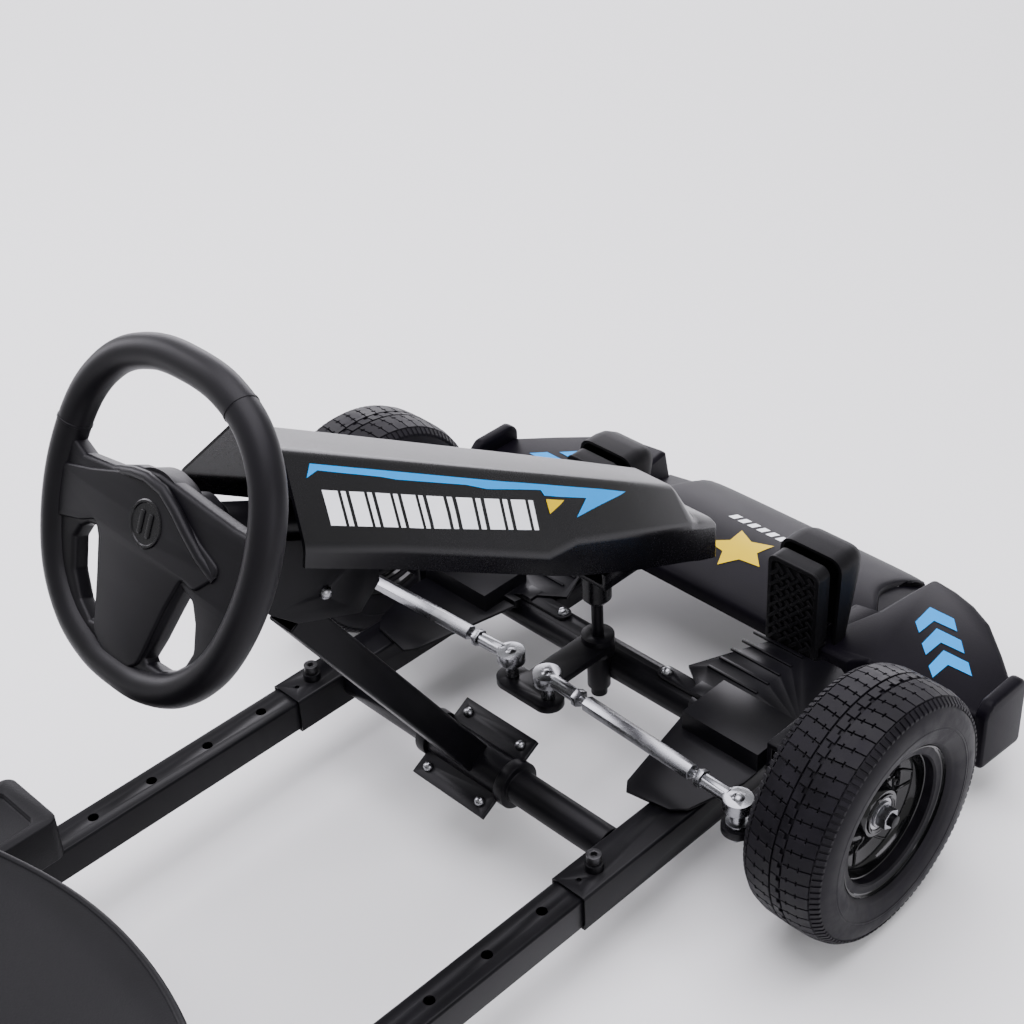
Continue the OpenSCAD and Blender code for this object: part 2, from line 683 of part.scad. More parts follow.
// ball stud that stands on a plate, with its nut below
module ball_stud() {
    top = arm_z + arm_t / 2 + seat_gap;
    low = arm_z - arm_t / 2 - seat_gap;
    translate([0, 0, ball_z]) sphere(d = ball_d);
    translate([0, 0, top]) cylinder(d1 = 14, d2 = 9, h = ball_z - top - 5);
    translate([0, 0, low - 8]) cylinder(d = stud_d, h = top - low + 10);
    translate([0, 0, low - 6]) cylinder(d = 13 / cos(30), h = 6, $fn = 6);
}
module pitman_studs() {
    color("#c9ccd2") on_datum() both_sides() translate([inner_ball[0], inner_ball[1], 0]) ball_stud();
}

module on_rod() {
    translate([inner_ball[0], inner_ball[1], ball_z]) rotate([0, 0, rod_turn]) children();
}
// housing with a spherical seat, a round shank and a jam nut, starting at its ball
module rod_end(seat) {
    difference() {
        union() {
            translate([0, 0, -6]) cylinder(d = housing_d, h = 12);
            along_x(11, 0, 0) cylinder(d = 14, h = rod_end_len - 26);
        }
        if (seat) sphere(d = ball_d + 2 * run_fit);
        if (!seat) cylinder(d = 9, h = 40, center = true);
    }
    along_x(rod_end_len - 14, 0, 0) cylinder(d = 16 / cos(30), h = 6, $fn = 6);
    along_x(rod_end_len - 16, 0, 0) cylinder(d = 8, h = 16 - seat_gap);
}
module rod_ends(side) {
    color("#c9ccd2") on_datum() sided(side) {
        on_rod() rod_end(true);
        on_rod() translate([rod_len, 0, 0]) mirror([1, 0, 0]) rod_end(false);
        translate([outer_ball[0], outer_ball[1], 0]) outer_stud();
    }
}
// stud that hangs from the outer rod end through the wide hole of the steering arm
module outer_stud() {
    above = arm_z + arm_t / 2 + gap;
    below = arm_z - arm_t / 2 - gap;
    translate([0, 0, below - 10]) cylinder(d = stud_d, h = ball_z + 7 - below + 10);
    translate([0, 0, above]) cylinder(d = 22, h = 3);
    translate([0, 0, above + 3]) cylinder(d = 14, h = ball_z - 6 - above - 3 - seat_gap);
    translate([0, 0, below - 3]) cylinder(d = 22, h = 3);
    translate([0, 0, below - 9]) cylinder(d = 13 / cos(30), h = 6, $fn = 6);
    translate([0, 0, ball_z + 6 + seat_gap]) dome_head(12, 3);
}
module tie_rod(side) {
    color("#d4d7dc") on_datum() sided(side) on_rod() along_x(rod_end_len, 0, 0) {
        cylinder(d = rod_flats / cos(30), h = rod_len - 2 * rod_end_len, $fn = 6);
    }
}
module tie_rod_left() { tie_rod(left); }
module tie_rod_right() { tie_rod(right); }
module rod_ends_left() { rod_ends(left); }
module rod_ends_right() { rod_ends(right); }

// steering knuckle: barrel on the kingpin, stub axle and steering arm
module knuckle(side) {
    arm = [outer_ball[0] - kingpin_x, outer_ball[1] - axle_y];
    color("#1b1b1f") on_datum() sided(side) difference() {
        union() {
            translate([kingpin_x, axle_y, axle_z - knuckle_h / 2]) cylinder(d = knuckle_d, h = knuckle_h);
            along_x(kingpin_x + 8, axle_y, axle_z) cylinder(d = axle_d, h = axle_end_x - kingpin_x - 8);
            along_x(kingpin_x + 8, axle_y, axle_z) cylinder(d = axle_d + 6, h = 10);
            translate([kingpin_x, axle_y, arm_z - arm_t / 2]) rotate([0, 0, atan2(arm[1], arm[0])])
                translate([0, -11, 0]) cube([norm(arm), 22, arm_t]);
            translate([outer_ball[0], outer_ball[1], arm_z - arm_t / 2]) cylinder(d = 30, h = arm_t);
        }
        translate([kingpin_x, axle_y, 0]) cylinder(d = kingpin_d + 2 * run_fit, h = 300);
        translate([outer_ball[0], outer_ball[1], 100]) cylinder(d = lug_hole_d, h = 60);
    }
}
module knuckle_left() { knuckle(left); }
module knuckle_right() { knuckle(right); }

// spacer, washer and lock nut of a stub axle
module axle_fittings(side) {
    inner_face = wheel_x - hub_w / 2 - gap;
    outer_face = wheel_x + hub_w / 2 + gap;
    from = kingpin_x + 18 + seat_gap;
    color("#c9ccd2") on_datum() sided(side) {
        along_x(from, axle_y, axle_z) ring(axle_d + 6, axle_d + 2 * seat_gap, inner_face - from);
        along_x(outer_face, axle_y, axle_z) ring(26, axle_d + 2 * seat_gap, 2);
        along_x(outer_face + 2.1, axle_y, axle_z) hex_nut(19, axle_d + 2 * seat_gap, 9);
    }
}
module axle_fittings_left() { axle_fittings(left); }
module axle_fittings_right() { axle_fittings(right); }

// ---------- wheels ----------
bead_r = rim_d / 2 - 11;
tyre_profile = let (r = tyre_d / 2, w = tyre_w / 2, f = rim_w / 2 - 4) [
    [-f, bead_r], [-f, rim_d / 2 + 0.5], [-w + 3, rim_d / 2 + 8], [-w, rim_d / 2 + 22],
    [-w + 2, r - 16], [-w + 8, r - 5], [-w + 18, r - 1], [0, r],
    [w - 18, r - 1], [w - 8, r - 5], [w - 2, r - 16], [w, rim_d / 2 + 22],
    [w - 3, rim_d / 2 + 8], [f, rim_d / 2 + 0.5], [f, bead_r]];
// turned about the wheel's own axle
module turned() { rotate([0, 90, 0]) rotate_extrude($fn = 96) rotate(-90) children(); }
module tyre() { turned() polygon(tyre_profile); }
module rim(drum) {
    f = rim_w / 2;
    wall = 3;
    b = bead_r - seat_gap;
    h = bearing_d / 2;
    difference() {
        turned() union() {
            polygon([[-f, b - wall], [f, b - wall], [f, rim_d / 2], [f - 3.5, rim_d / 2],
                [f - 3.5, b], [-f + 3.5, b], [-f + 3.5, rim_d / 2], [-f, rim_d / 2]]);
            translate([web_x, h + 4]) square([wall + 1, b - h - 5]);
            translate([-hub_w / 2, h]) square([hub_w, 6]);
        }
        if (!drum) for (a = [0:72:359]) rotate([a, 0, 0])
            along_x(0, 0, (b + h) / 2 + 4) cylinder(d = 12, h = 60);
    }
}
module bearings() {
    for (x = [-hub_w / 2, hub_w / 2 - bearing_w])
        along_x(x, 0, 0) ring(bearing_d - 2 * seat_gap, axle_d + 2 * run_fit, bearing_w);
}
module at_wheel(side, y) { on_datum() sided(side) translate([wheel_x, y, axle_z]) children(); }
module front_left_tyre() { color("#202024") at_wheel(left, axle_y) tyre(); }
module front_right_tyre() { color("#202024") at_wheel(right, axle_y) tyre(); }
module rear_left_tyre() { color("#202024") at_wheel(left, rear_axle_y) tyre(); }
module rear_right_tyre() { color("#202024") at_wheel(right, rear_axle_y) tyre(); }
module front_left_rim() { color("#121214") at_wheel(left, axle_y) rim(false); }
module front_right_rim() { color("#121214") at_wheel(right, axle_y) rim(false); }
module rear_left_rim() { color("#121214") at_wheel(left, rear_axle_y) rim(true); }
module rear_right_rim() { color("#121214") at_wheel(right, rear_axle_y) rim(true); }
module front_left_bearings() { color("#b5b8be") at_wheel(left, axle_y) bearings(); }
module front_right_bearings() { color("#b5b8be") at_wheel(right, axle_y) bearings(); }
module rear_left_bearings() { color("#b5b8be") at_wheel(left, rear_axle_y) bearings(); }
module rear_right_bearings() { color("#b5b8be") at_wheel(right, rear_axle_y) bearings(); }

// ---------- rear frame ----------
module rear_rail() {
    translate([rail_x, rail_front_y, rail_z]) rotate([90, 0, 0]) difference() {
        square_tube(rail_w, tube_wall, rail_front_y - rail_back_y);
        for (k = [0:hole_count - 1])
            translate([0, 0, rail_front_y - first_hole_y + k * hole_pitch]) rotate([90, 0, 0])
                cylinder(d = rail_hole_d, h = 60, center = true);
    }
}
module rear_rails() { color("#1b1b1f") on_datum() both_sides() rear_rail(); }

rail_top = rail_z + rail_w / 2;
cross_half = rail_x - rail_w / 2 - seat_gap;
module rear_cross_tubes() {
    color("#1b1b1f") on_datum() for (y = [seat_front_y - 60, rear_axle_y - 40])
        translate([-cross_half, y, rail_z]) rotate([0, 90, 0]) square_tube(30, tube_wall, 2 * cross_half);
}

module rear_axle() {
    color("#c9ccd2") on_datum() {
        along_x(-axle_end_x, rear_axle_y, axle_z) cylinder(d = axle_d, h = 2 * axle_end_x);
        both_sides() {
            along_x(rail_x + 22, rear_axle_y, axle_z)
                ring(axle_d + 6, axle_d + 2 * seat_gap, wheel_x - hub_w / 2 - gap - rail_x - 22);
            along_x(wheel_x + hub_w / 2 + gap, rear_axle_y, axle_z) ring(26, axle_d + 2 * seat_gap, 2);
            along_x(wheel_x + hub_w / 2 + gap + 2.1, rear_axle_y, axle_z)
                hex_nut(19, axle_d + 2 * seat_gap, 9);
        }
    }
}
// blocks that hold the axle down on the rails
module axle_clamps() {
    low = rail_top + seat_gap;
    color("#1b1b1f") on_datum() both_sides() difference() {
        union() {
            translate([rail_x - 18, rear_axle_y - 26, low]) cube([36, 52, 8]);
            translate([rail_x - 18, rear_axle_y - 14, low]) cube([36, 28, axle_z - low]);
            along_x(rail_x - 18, rear_axle_y, axle_z) cylinder(d = 28, h = 36);
        }
        along_x(0, rear_axle_y, axle_z) cylinder(d = axle_d + 2 * seat_gap, h = 400);
    }
}
module motor_stators() {
    color("#8f5a36") on_datum() both_sides()
        along_x(wheel_x - rim_w / 2, rear_axle_y, axle_z) ring(96, axle_d + 6 + 2 * seat_gap, 14);
}

// ---------- seat ----------
// middle line of the shell: a pan that dips, a round bend and a backrest that leans back
function seat_mid(t) = let (s = t < 0.5 ? t * 2 : 1, q = t < 0.5 ? 0 : (t - 0.5) * 2,
        bend = min(q / 0.35, 1), rise = max((q - 0.35) / 0.65, 0),
        r = 70, lean = 14, pan_z = seat_front_z - seat_dip * sin(90 * s),
        a = bend * (90 - lean))
    [seat_front_y - seat_depth * s - r * sin(a) - (seat_back_h - r) * rise * sin(lean),
     pan_z + r * (1 - cos(a)) + (seat_back_h - r) * rise * cos(lean)];
function seat_dir(t) = let (d = seat_mid(min(t + 0.01, 1)) - seat_mid(max(t - 0.01, 0))) d / norm(d);
function seat_half(t) = seat_w / 2 * (t < 0.1 ? 0.86 + 0.14 * sin(900 * t) : 1 - 0.16 * max(t - 0.7, 0) / 0.3);
function seat_side(t) = 70 * sin(180 * min(max(t * 0.9 + 0.08, 0), 1)) ;
function seat_point(t, u, off) = let (m = seat_mid(t), d = seat_dir(t), n = [d[1], -d[0]],
        w = seat_half(t), edge = pow(abs(u), 3), lift = seat_side(t) * edge + off,
        x = (w - off * edge) * sin(90 * u) / sin(90))
    [x, m[0] + n[0] * lift, m[1] + n[1] * lift];
// height of the pan's underside at a place along the kart
function seat_under(y) = seat_front_z - seat_dip * sin(90 * (seat_front_y - y) / seat_depth);
seat_rows = 26;
seat_cols = 16;
module seat_shell() {
    rings = [for (i = [0:seat_rows]) let (t = i / seat_rows) concat(
        [for (j = [0:seat_cols]) seat_point(t, 1 - 2 * j / seat_cols, 0)],
        [for (j = [seat_cols:-1:0]) seat_point(t, 1 - 2 * j / seat_cols, seat_wall)])];
    color("#17171a") on_datum() loft(rings);
}

module seat_brackets() {
    color("#1b1b1f") on_datum() for (y = [seat_front_y - 90, seat_front_y - seat_depth + 30]) {
        top = seat_under(y - 15) - gap;
        both_sides() {
            translate([rail_x - 16, y - 15, rail_top + seat_gap]) cube([32, 30, 4]);
            translate([rail_x - 16, y - 15, rail_top + seat_gap]) cube([4, 30, top - rail_top - seat_gap]);
        }
        translate([-rail_x + 14, y - 15, top - 4]) cube([2 * rail_x - 28, 30, 4]);
    }
}

module battery_box() {
    color("#202024") on_datum() translate([0, seat_front_y - 160, rail_z - 22])
        soft_bar(2 * cross_half, 130, 66, 8);
}

module side_pod() {
    translate([rail_x + 18, seat_front_y - 2, rail_top + seat_gap]) difference() {
        soft_bar(84, 134, 46, 12);
        translate([0, 0, 42]) soft_bar(58, 96, 10, 8);
    }
}
module side_pods() { color("#17171a") on_datum() both_sides() side_pod(); }

module rear_bumper() {
    y = tail_y + 11;
    color("#1b1b1f") on_datum() difference() {
        union() {
            along_x(-rail_x, y, rail_z) cylinder(d = 22, h = 2 * rail_x);
            both_sides() {
                translate([rail_x, rail_back_y - seat_gap, rail_z]) rotate([90, 0, 0])
                    cylinder(d = 22, h = rail_back_y - seat_gap - y);
                translate([rail_x, y, rail_z]) sphere(d = 22);
                translate([rail_x, rail_back_y - seat_gap, rail_z]) rotate([90, 0, 0])
                    soft_bar(rail_w, rail_w, 4, 3);
            }
        }
    }
}

front_beam();
side_sleeves();
kingpin_brackets();
kingpins();
cross_tube();
clamp_lower();
clamp_upper();
frame_bolts();
steering_post();
column_bracket();
steering_bushes();
bonnet();
gear_housing();
nose_frame();
front_fairing();
footplates();
pedal_bases();
pedal_pins();
pedal_springs();
rail_clamp_screws();
steering_wheel();
wheel_badge();
steering_shaft();
column_gear();
pitman_shaft();
shaft_gear();
pitman_arm();
pitman_studs();
tie_rod_left();
rod_ends_left();
tie_rod_right();
rod_ends_right();
knuckle_left();
axle_fittings_left();
knuckle_right();
axle_fittings_right();
front_left_tyre();
front_left_rim();
front_left_bearings();
front_right_tyre();
front_right_rim();
front_right_bearings();
pedal_pad_left();
pedal_pad_right();
rear_rails();
rear_cross_tubes();
rear_axle();
axle_clamps();
seat_shell();
seat_brackets();
battery_box();
side_pods();
rear_bumper();
motor_stators();
rear_left_tyre();
rear_left_rim();
rear_right_tyre();
rear_right_rim();
rear_left_bearings();
rear_right_bearings();
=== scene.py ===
import bpy, bmesh, json, math
from mathutils import Matrix, Vector
from mathutils.bvhtree import BVHTree

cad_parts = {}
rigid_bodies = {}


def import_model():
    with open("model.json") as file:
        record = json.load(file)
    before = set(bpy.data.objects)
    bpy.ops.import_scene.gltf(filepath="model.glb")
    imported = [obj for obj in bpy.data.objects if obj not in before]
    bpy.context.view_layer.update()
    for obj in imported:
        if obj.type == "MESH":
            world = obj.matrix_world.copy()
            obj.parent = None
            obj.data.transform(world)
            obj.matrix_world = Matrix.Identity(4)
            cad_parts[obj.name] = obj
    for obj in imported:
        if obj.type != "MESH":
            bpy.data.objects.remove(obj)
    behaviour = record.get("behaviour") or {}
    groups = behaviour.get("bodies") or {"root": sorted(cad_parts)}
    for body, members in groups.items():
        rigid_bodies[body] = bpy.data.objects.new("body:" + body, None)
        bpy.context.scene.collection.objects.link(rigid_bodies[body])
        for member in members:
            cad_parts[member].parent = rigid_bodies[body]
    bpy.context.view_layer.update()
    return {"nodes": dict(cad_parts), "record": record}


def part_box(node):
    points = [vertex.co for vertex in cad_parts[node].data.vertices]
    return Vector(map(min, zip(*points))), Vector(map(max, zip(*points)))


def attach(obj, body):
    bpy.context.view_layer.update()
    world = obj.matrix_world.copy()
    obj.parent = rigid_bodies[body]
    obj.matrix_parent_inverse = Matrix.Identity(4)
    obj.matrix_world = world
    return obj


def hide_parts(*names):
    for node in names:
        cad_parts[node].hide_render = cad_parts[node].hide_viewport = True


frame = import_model()
NODES = frame["nodes"]
BODY_OF = {n: b for b, members in frame["record"]["behaviour"]["bodies"].items() for n in members}

DATUM_Y = 307.0  # the front-axle datum lies this far ahead of the origin, in millimetres


def at(x, y, z):
    """A place in millimetres from the kart's datum, as metres in the shared frame."""
    return Vector((x, y + DATUM_Y, z)) / 1000


# ---------- shader sums ----------
class Sum:
    """A number socket that takes part in ordinary arithmetic."""

    def __init__(self, finish, socket):
        self.finish, self.socket = finish, socket

    def _with(self, operation, other, turned=False):
        pair = [other, self] if turned else [self, other]
        return self.finish.node("ShaderNodeMath", {"operation": operation}, dict(enumerate(pair)))

    def __add__(self, other): return self._with("ADD", other)
    def __radd__(self, other): return self._with("ADD", other)
    def __sub__(self, other): return self._with("SUBTRACT", other)
    def __rsub__(self, other): return self._with("SUBTRACT", other, True)
    def __mul__(self, other): return self._with("MULTIPLY", other)
    def __rmul__(self, other): return self._with("MULTIPLY", other)


class Finish:
    """One procedural material: constants on the shader, and what varies built from nodes."""

    def __init__(self, name, **constants):
        self.material = bpy.data.materials.new(name)
        self.material.use_nodes = True
        self.tree = self.material.node_tree
        self.shader = self.tree.nodes["Principled BSDF"]
        self.place = self.node("ShaderNodeTexCoord", {}, {}, "Object")
        for key, value in constants.items():
            self.shader.inputs[key.replace("_", " ").title().replace("Ior", "IOR")].default_value = value

    def node(self, kind, settings, sockets, out=0):
        made = self.tree.nodes.new(kind)
        for key, value in settings.items():
            setattr(made, key, value)
        for key, value in sockets.items():
            if isinstance(value, Sum):
                self.tree.links.new(value.socket, made.inputs[key])
            else:
                made.inputs[key].default_value = value
        return Sum(self, made.outputs[out])

    def noise(self, scale, detail=2.0, roughness=0.5, place=None):
        return self.node("ShaderNodeTexNoise", {}, {"Vector": place or self.place, "Scale": scale,
                                                    "Detail": detail, "Roughness": roughness})

    def stretched(self, scale):
        return self.node("ShaderNodeMapping", {}, {"Vector": self.place, "Scale": scale})

    def between(self, low, high, amount):
        return self.node("ShaderNodeMapRange", {"clamp": True},
                         {"Value": amount, "From Min": low, "From Max": high})

    def blend(self, amount, a, b):
        """A colour between two others; a colour mix keeps its colours on sockets 6 and 7 and gives socket 2."""
        return self.node("ShaderNodeMix", {"data_type": "RGBA"}, {"Factor": amount, 6: (*a, 1), 7: (*b, 1)}, 2)

    def colour(self, value):
        self.tree.links.new(value.socket, self.shader.inputs["Base Color"])

    def rough(self, value):
        self.tree.links.new(value.socket, self.shader.inputs["Roughness"])

    def bump(self, height, depth, strength=1.0):
        made = self.node("ShaderNodeBump", {}, {"Height": height, "Distance": depth, "Strength": strength})
        self.tree.links.new(made.socket, self.shader.inputs["Normal"])


def powder_coat():
    """Black powder coat: a fine orange peel, with broad duller patches."""
    f = Finish("powder_coat", specular_ior_level=0.12)
    peel = f.noise(900, 1.0)
    broad = f.noise(14, 3.0)
    f.colour(f.blend(f.between(0.35, 0.7, broad), (0.0020, 0.0019, 0.0026), (0.0042, 0.0039, 0.0054)))
    f.rough(broad * 0.12 + 0.27 + peel * 0.05)
    f.bump(peel, 0.00006, 0.5)
    return f.material


def zinc_plate():
    """Bright zinc: cloudy plating over drawn steel."""
    f = Finish("zinc_plate", metallic=1.0)
    cloud = f.noise(60, 3.0)
    lines = f.noise(1.0, 2.0, 0.6, f.stretched((40, 900, 900)))
    f.colour(f.blend(cloud, (0.17, 0.175, 0.19), (0.30, 0.30, 0.31)))
    f.rough(cloud * 0.10 + 0.19 + lines * 0.06)
    f.bump(lines, 0.00002, 0.35)
    return f.material


def ground_steel():
    """Bare turned steel, with rings round its axis."""
    f = Finish("ground_steel", metallic=1.0)
    rings = f.noise(1.0, 2.0, 0.5, f.stretched((1400, 60, 60)))
    f.colour(f.blend(rings, (0.33, 0.33, 0.35), (0.5, 0.5, 0.51)))
    f.rough(rings * 0.2 + 0.22)
    f.bump(rings, 0.00003, 0.4)
    return f.material


def black_oxide():
    """Blackened screws: dark metal, slightly uneven."""
    f = Finish("black_oxide", metallic=0.6)
    cloud = f.noise(120, 2.0)
    f.colour(f.blend(cloud, (0.016, 0.016, 0.018), (0.035, 0.034, 0.036)))
    f.rough(cloud * 0.15 + 0.28)
    f.bump(f.noise(1500), 0.00002, 0.3)
    return f.material


def moulded(name, dark, light, low, spread, grain, depth, shine=0.12):
    """A moulded plastic: pebbled grain, with faint flow marks."""
    f = Finish(name, specular_ior_level=shine)
    pebble = f.node("ShaderNodeTexVoronoi", {"feature": "SMOOTH_F1"},
                    {"Vector": f.place, "Scale": grain, "Smoothness": 0.6}, "Distance")
    flow = f.noise(9, 4.0, 0.6)
    f.colour(f.blend(f.between(0.3, 0.75, flow), dark, light))
    f.rough(flow * spread + low + pebble * 0.06)
    f.bump(pebble, depth, 0.6)
    return f.material


def tread_rubber():
    """Tyre rubber, greyed where dust has settled."""
    f = Finish("tread_rubber", specular_ior_level=0.15)
    dust = f.between(0.42, 0.72, f.noise(38, 5.0, 0.65))
    fine = f.noise(1300, 2.0)
    f.colour(f.blend(dust, (0.0032, 0.0027, 0.0044), (0.0078, 0.0068, 0.0100)))
    f.rough(dust * 0.2 + 0.46 + fine * 0.05)
    f.bump(fine, 0.00008, 0.5)
    return f.material


def gloss_paint():
    """Glossy black paint on the pressed rims."""
    f = Finish("gloss_paint", coat_weight=0.35, coat_roughness=0.05, specular_ior_level=0.2)
    peel = f.noise(260, 1.0)
    f.colour(f.blend(f.noise(30), (0.0012, 0.0012, 0.0016), (0.0028, 0.0028, 0.0034)))
    f.rough(peel * 0.08 + 0.12)
    f.bump(peel, 0.00005, 0.4)
    return f.material


def vinyl(name, tint, worn):
    """Printed vinyl for the flat decals."""
    f = Finish(name, specular_ior_level=0.1)
    cloud = f.noise(50, 3.0)
    f.colour(f.blend(cloud, tint, worn))
    f.rough(cloud * 0.1 + 0.3)
    return f.material


def winding():
    """Copper wire wound round the hub motors."""
    f = Finish("winding", metallic=0.7)
    wire = f.noise(1.0, 1.0, 0.5, f.stretched((900, 90, 90)))
    f.colour(f.blend(wire, (0.20, 0.07, 0.03), (0.48, 0.2, 0.09)))
    f.rough(wire * 0.3 + 0.25)
    f.bump(wire, 0.0004, 0.7)
    return f.material


POWDER = powder_coat()
ZINC = zinc_plate()
STEEL = ground_steel()
OXIDE = black_oxide()
RUBBER = tread_rubber()
GLOSS = gloss_paint()
WINDING = winding()
# each plastic: its dark and light colour, its least roughness and how far it varies, then the grain's scale and depth
BONNET_PLASTIC = moulded("bonnet_plastic", (0.0016, 0.0015, 0.0022), (0.0034, 0.0031, 0.0046),
                         0.17, 0.12, 900, 0.00004, 0.25)
FAIRING_PLASTIC = moulded("fairing_plastic", (0.0024, 0.0019, 0.0036), (0.0046, 0.0038, 0.0064),
                          0.33, 0.14, 800, 0.00008, 0.06)
PEDAL_PLASTIC = moulded("pedal_plastic", (0.0020, 0.0019, 0.0025), (0.0045, 0.0043, 0.0054),
                        0.42, 0.18, 700, 0.00010)
SEAT_PLASTIC = moulded("seat_plastic", (0.0026, 0.0025, 0.0034), (0.0052, 0.0050, 0.0062),
                       0.36, 0.16, 600, 0.00014)
GRIP_SKIN = moulded("grip_skin", (0.0026, 0.0023, 0.0034), (0.0055, 0.0049, 0.0070),
                    0.32, 0.18, 1100, 0.00005, 0.18)
BUSH_PLASTIC = moulded("bush_plastic", (0.55, 0.52, 0.44), (0.68, 0.65, 0.57), 0.4, 0.1, 900, 0.00004)
CYAN = vinyl("cyan_vinyl", (0.0, 0.25, 0.68), (0.0, 0.28, 0.74))
YELLOW = vinyl("yellow_vinyl", (0.62, 0.42, 0.0), (0.68, 0.47, 0.0))
WHITE = vinyl("white_vinyl", (0.80, 0.82, 0.86), (0.9, 0.91, 0.93))


# ---------- mesh helpers ----------
ON_SIDE = Matrix(((0, 0, 1, 0), (1, 0, 0, 0), (0, 1, 0, 0), (0, 0, 0, 1)))  # a plate's face turned to look along X


def painted(mesh, material):
    mesh.materials.clear()
    mesh.materials.append(material)


def piece(name, mesh, material, body, replaces=(), sharp=32, modifiers=()):
    """Links a finished mesh as a piece of the kart, riding on its body."""
    painted(mesh, material)
    obj = bpy.data.objects.new(name, mesh)
    bpy.context.scene.collection.objects.link(obj)
    for kind, settings in modifiers:
        made = obj.modifiers.new(kind.lower(), kind)
        for key, value in settings.items():
            setattr(made, key, value)
    if modifiers:
        obj.data = evaluated(obj)
        obj.modifiers.clear()
    obj.data.shade_smooth()
    obj.data.set_sharp_from_angle(angle=math.radians(sharp))
    if replaces:
        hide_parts(*replaces)
    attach(obj, body)
    return obj


def evaluated(obj):
    """The plain mesh that an object's modifiers make."""
    graph = bpy.context.evaluated_depsgraph_get()
    graph.update()
    return bpy.data.meshes.new_from_object(obj.evaluated_get(graph), preserve_all_data_layers=True,
                                           depsgraph=graph)


def mesh_of(name, points, faces):
    mesh = bpy.data.meshes.new(name)
    mesh.from_pydata([tuple(p) for p in points], [], faces)
    mesh.validate()
    outward(mesh)
    return mesh


def outward(mesh):
    """Joins points that meet and turns a closed mesh's faces outwards."""
    bm = bmesh.new()
    bm.from_mesh(mesh)
    bmesh.ops.remove_doubles(bm, verts=bm.verts, dist=1e-6)
    bmesh.ops.recalc_face_normals(bm, faces=bm.faces)
    bm.to_mesh(mesh)
    bm.free()


def outward_from(mesh, middle):
    """Turns an open shell's faces away from a point inside it."""
    bm = bmesh.new()
    bm.from_mesh(mesh)
    bmesh.ops.recalc_face_normals(bm, faces=bm.faces)
    balance = sum(f.normal.dot(f.calc_center_median() - middle) * f.calc_area() for f in bm.faces)
    if balance < 0:
        bmesh.ops.reverse_faces(bm, faces=bm.faces)
    bm.to_mesh(mesh)
    bm.free()


def sheet_faces(rows, across):
    """The four-sided faces of a sheet whose points run row by row."""
    return [(i * across + k, i * across + k + 1, (i + 1) * across + k + 1, (i + 1) * across + k)
            for i in range(rows - 1) for k in range(across - 1)]


def joined(name, meshes):
    bm = bmesh.new()
    for mesh in meshes:
        bm.from_mesh(mesh)
    made = bpy.data.meshes.new(name)
    bm.to_mesh(made)
    bm.free()
    return made


def moved(mesh, matrix):
    made = mesh.copy()
    made.transform(matrix)
    if matrix.determinant() < 0:
        made.flip_normals()
    return made


def mirrored(mesh):
    return moved(mesh, Matrix.Scale(-1, 4, (1, 0, 0)))


def bevel(width, segments=2, angle=30):
    return ("BEVEL", {"width": width, "segments": segments, "limit_method": "ANGLE",
                      "angle_limit": math.radians(angle), "use_clamp_overlap": True})


def wall(thickness, offset=-1.0):
    return ("SOLIDIFY", {"thickness": thickness, "offset": offset, "use_even_offset": True})


def smoothed(levels):
    return ("SUBSURF", {"levels": levels, "render_levels": levels})


def spun(name, profile, steps=96, axis="X", closed=True):
    """A ring turned about an axis through the origin; the profile is (along, radius) in millimetres."""
    points, faces, n = [], [], len(profile)
    for i in range(steps):
        a = 2 * math.pi * i / steps
        for along, radius in profile:
            c, s = radius * math.cos(a), radius * math.sin(a)
            points.append(Vector({"X": (along, c, s), "Z": (c, s, along)}[axis]) / 1000)
    for i in range(steps):
        for j in range(n if closed else n - 1):
            a, b = i * n + j, i * n + (j + 1) % n
            k = ((i + 1) % steps) * n
            faces.append((a, b, k + (j + 1) % n, k + j))
    return mesh_of(name, points, faces)


def tube(name, path, radius, sides=16, closed=False):
    """A round tube along points in metres, with closed ends; the radius is in metres."""
    points, faces, n = [], [], len(path)
    up = Vector((0, 0, 1))
    for i, p in enumerate(path):
        a = path[(i - 1) % n] if closed or i else p
        b = path[(i + 1) % n] if closed or i < n - 1 else p
        ahead = (b - a).normalized()
        side = ahead.cross(up if abs(ahead.z) < 0.95 else Vector((0, 1, 0))).normalized()
        over = side.cross(ahead)
        for k in range(sides):
            t = 2 * math.pi * k / sides
            points.append(p + radius * (math.cos(t) * side + math.sin(t) * over))
    for i in range(n if closed else n - 1):
        for k in range(sides):
            m, q = (k + 1) % sides, ((i + 1) % n) * sides
            faces.append((i * sides + k, i * sides + m, q + m, q + k))
    if not closed:
        faces += [tuple(range(sides)), tuple((n - 1) * sides + k for k in range(sides))]
    return mesh_of(name, points, faces)


def plate(name, loops, thickness, edge, place=Matrix.Identity(4)):
    """A flat plate from outlines in millimetres; inner loops are windows, and the edge is the round's radius."""
    curve = bpy.data.curves.new(name, "CURVE")
    curve.dimensions, curve.fill_mode = "2D", "BOTH"
    curve.extrude, curve.bevel_depth = (thickness / 2 - edge) / 1000, edge / 1000
    curve.bevel_resolution = 2
    for loop in loops:
        spline = curve.splines.new("POLY")
        spline.points.add(len(loop) - 1)
        for point, (x, y) in zip(spline.points, loop):
            point.co = (x / 1000, y / 1000, 0, 1)
        spline.use_cyclic_u = True
    obj = bpy.data.objects.new(name, curve)
    bpy.context.scene.collection.objects.link(obj)
    mesh = evaluated(obj)
    bpy.data.objects.remove(obj)
    outward(mesh)
    mesh.transform(place)
    return mesh


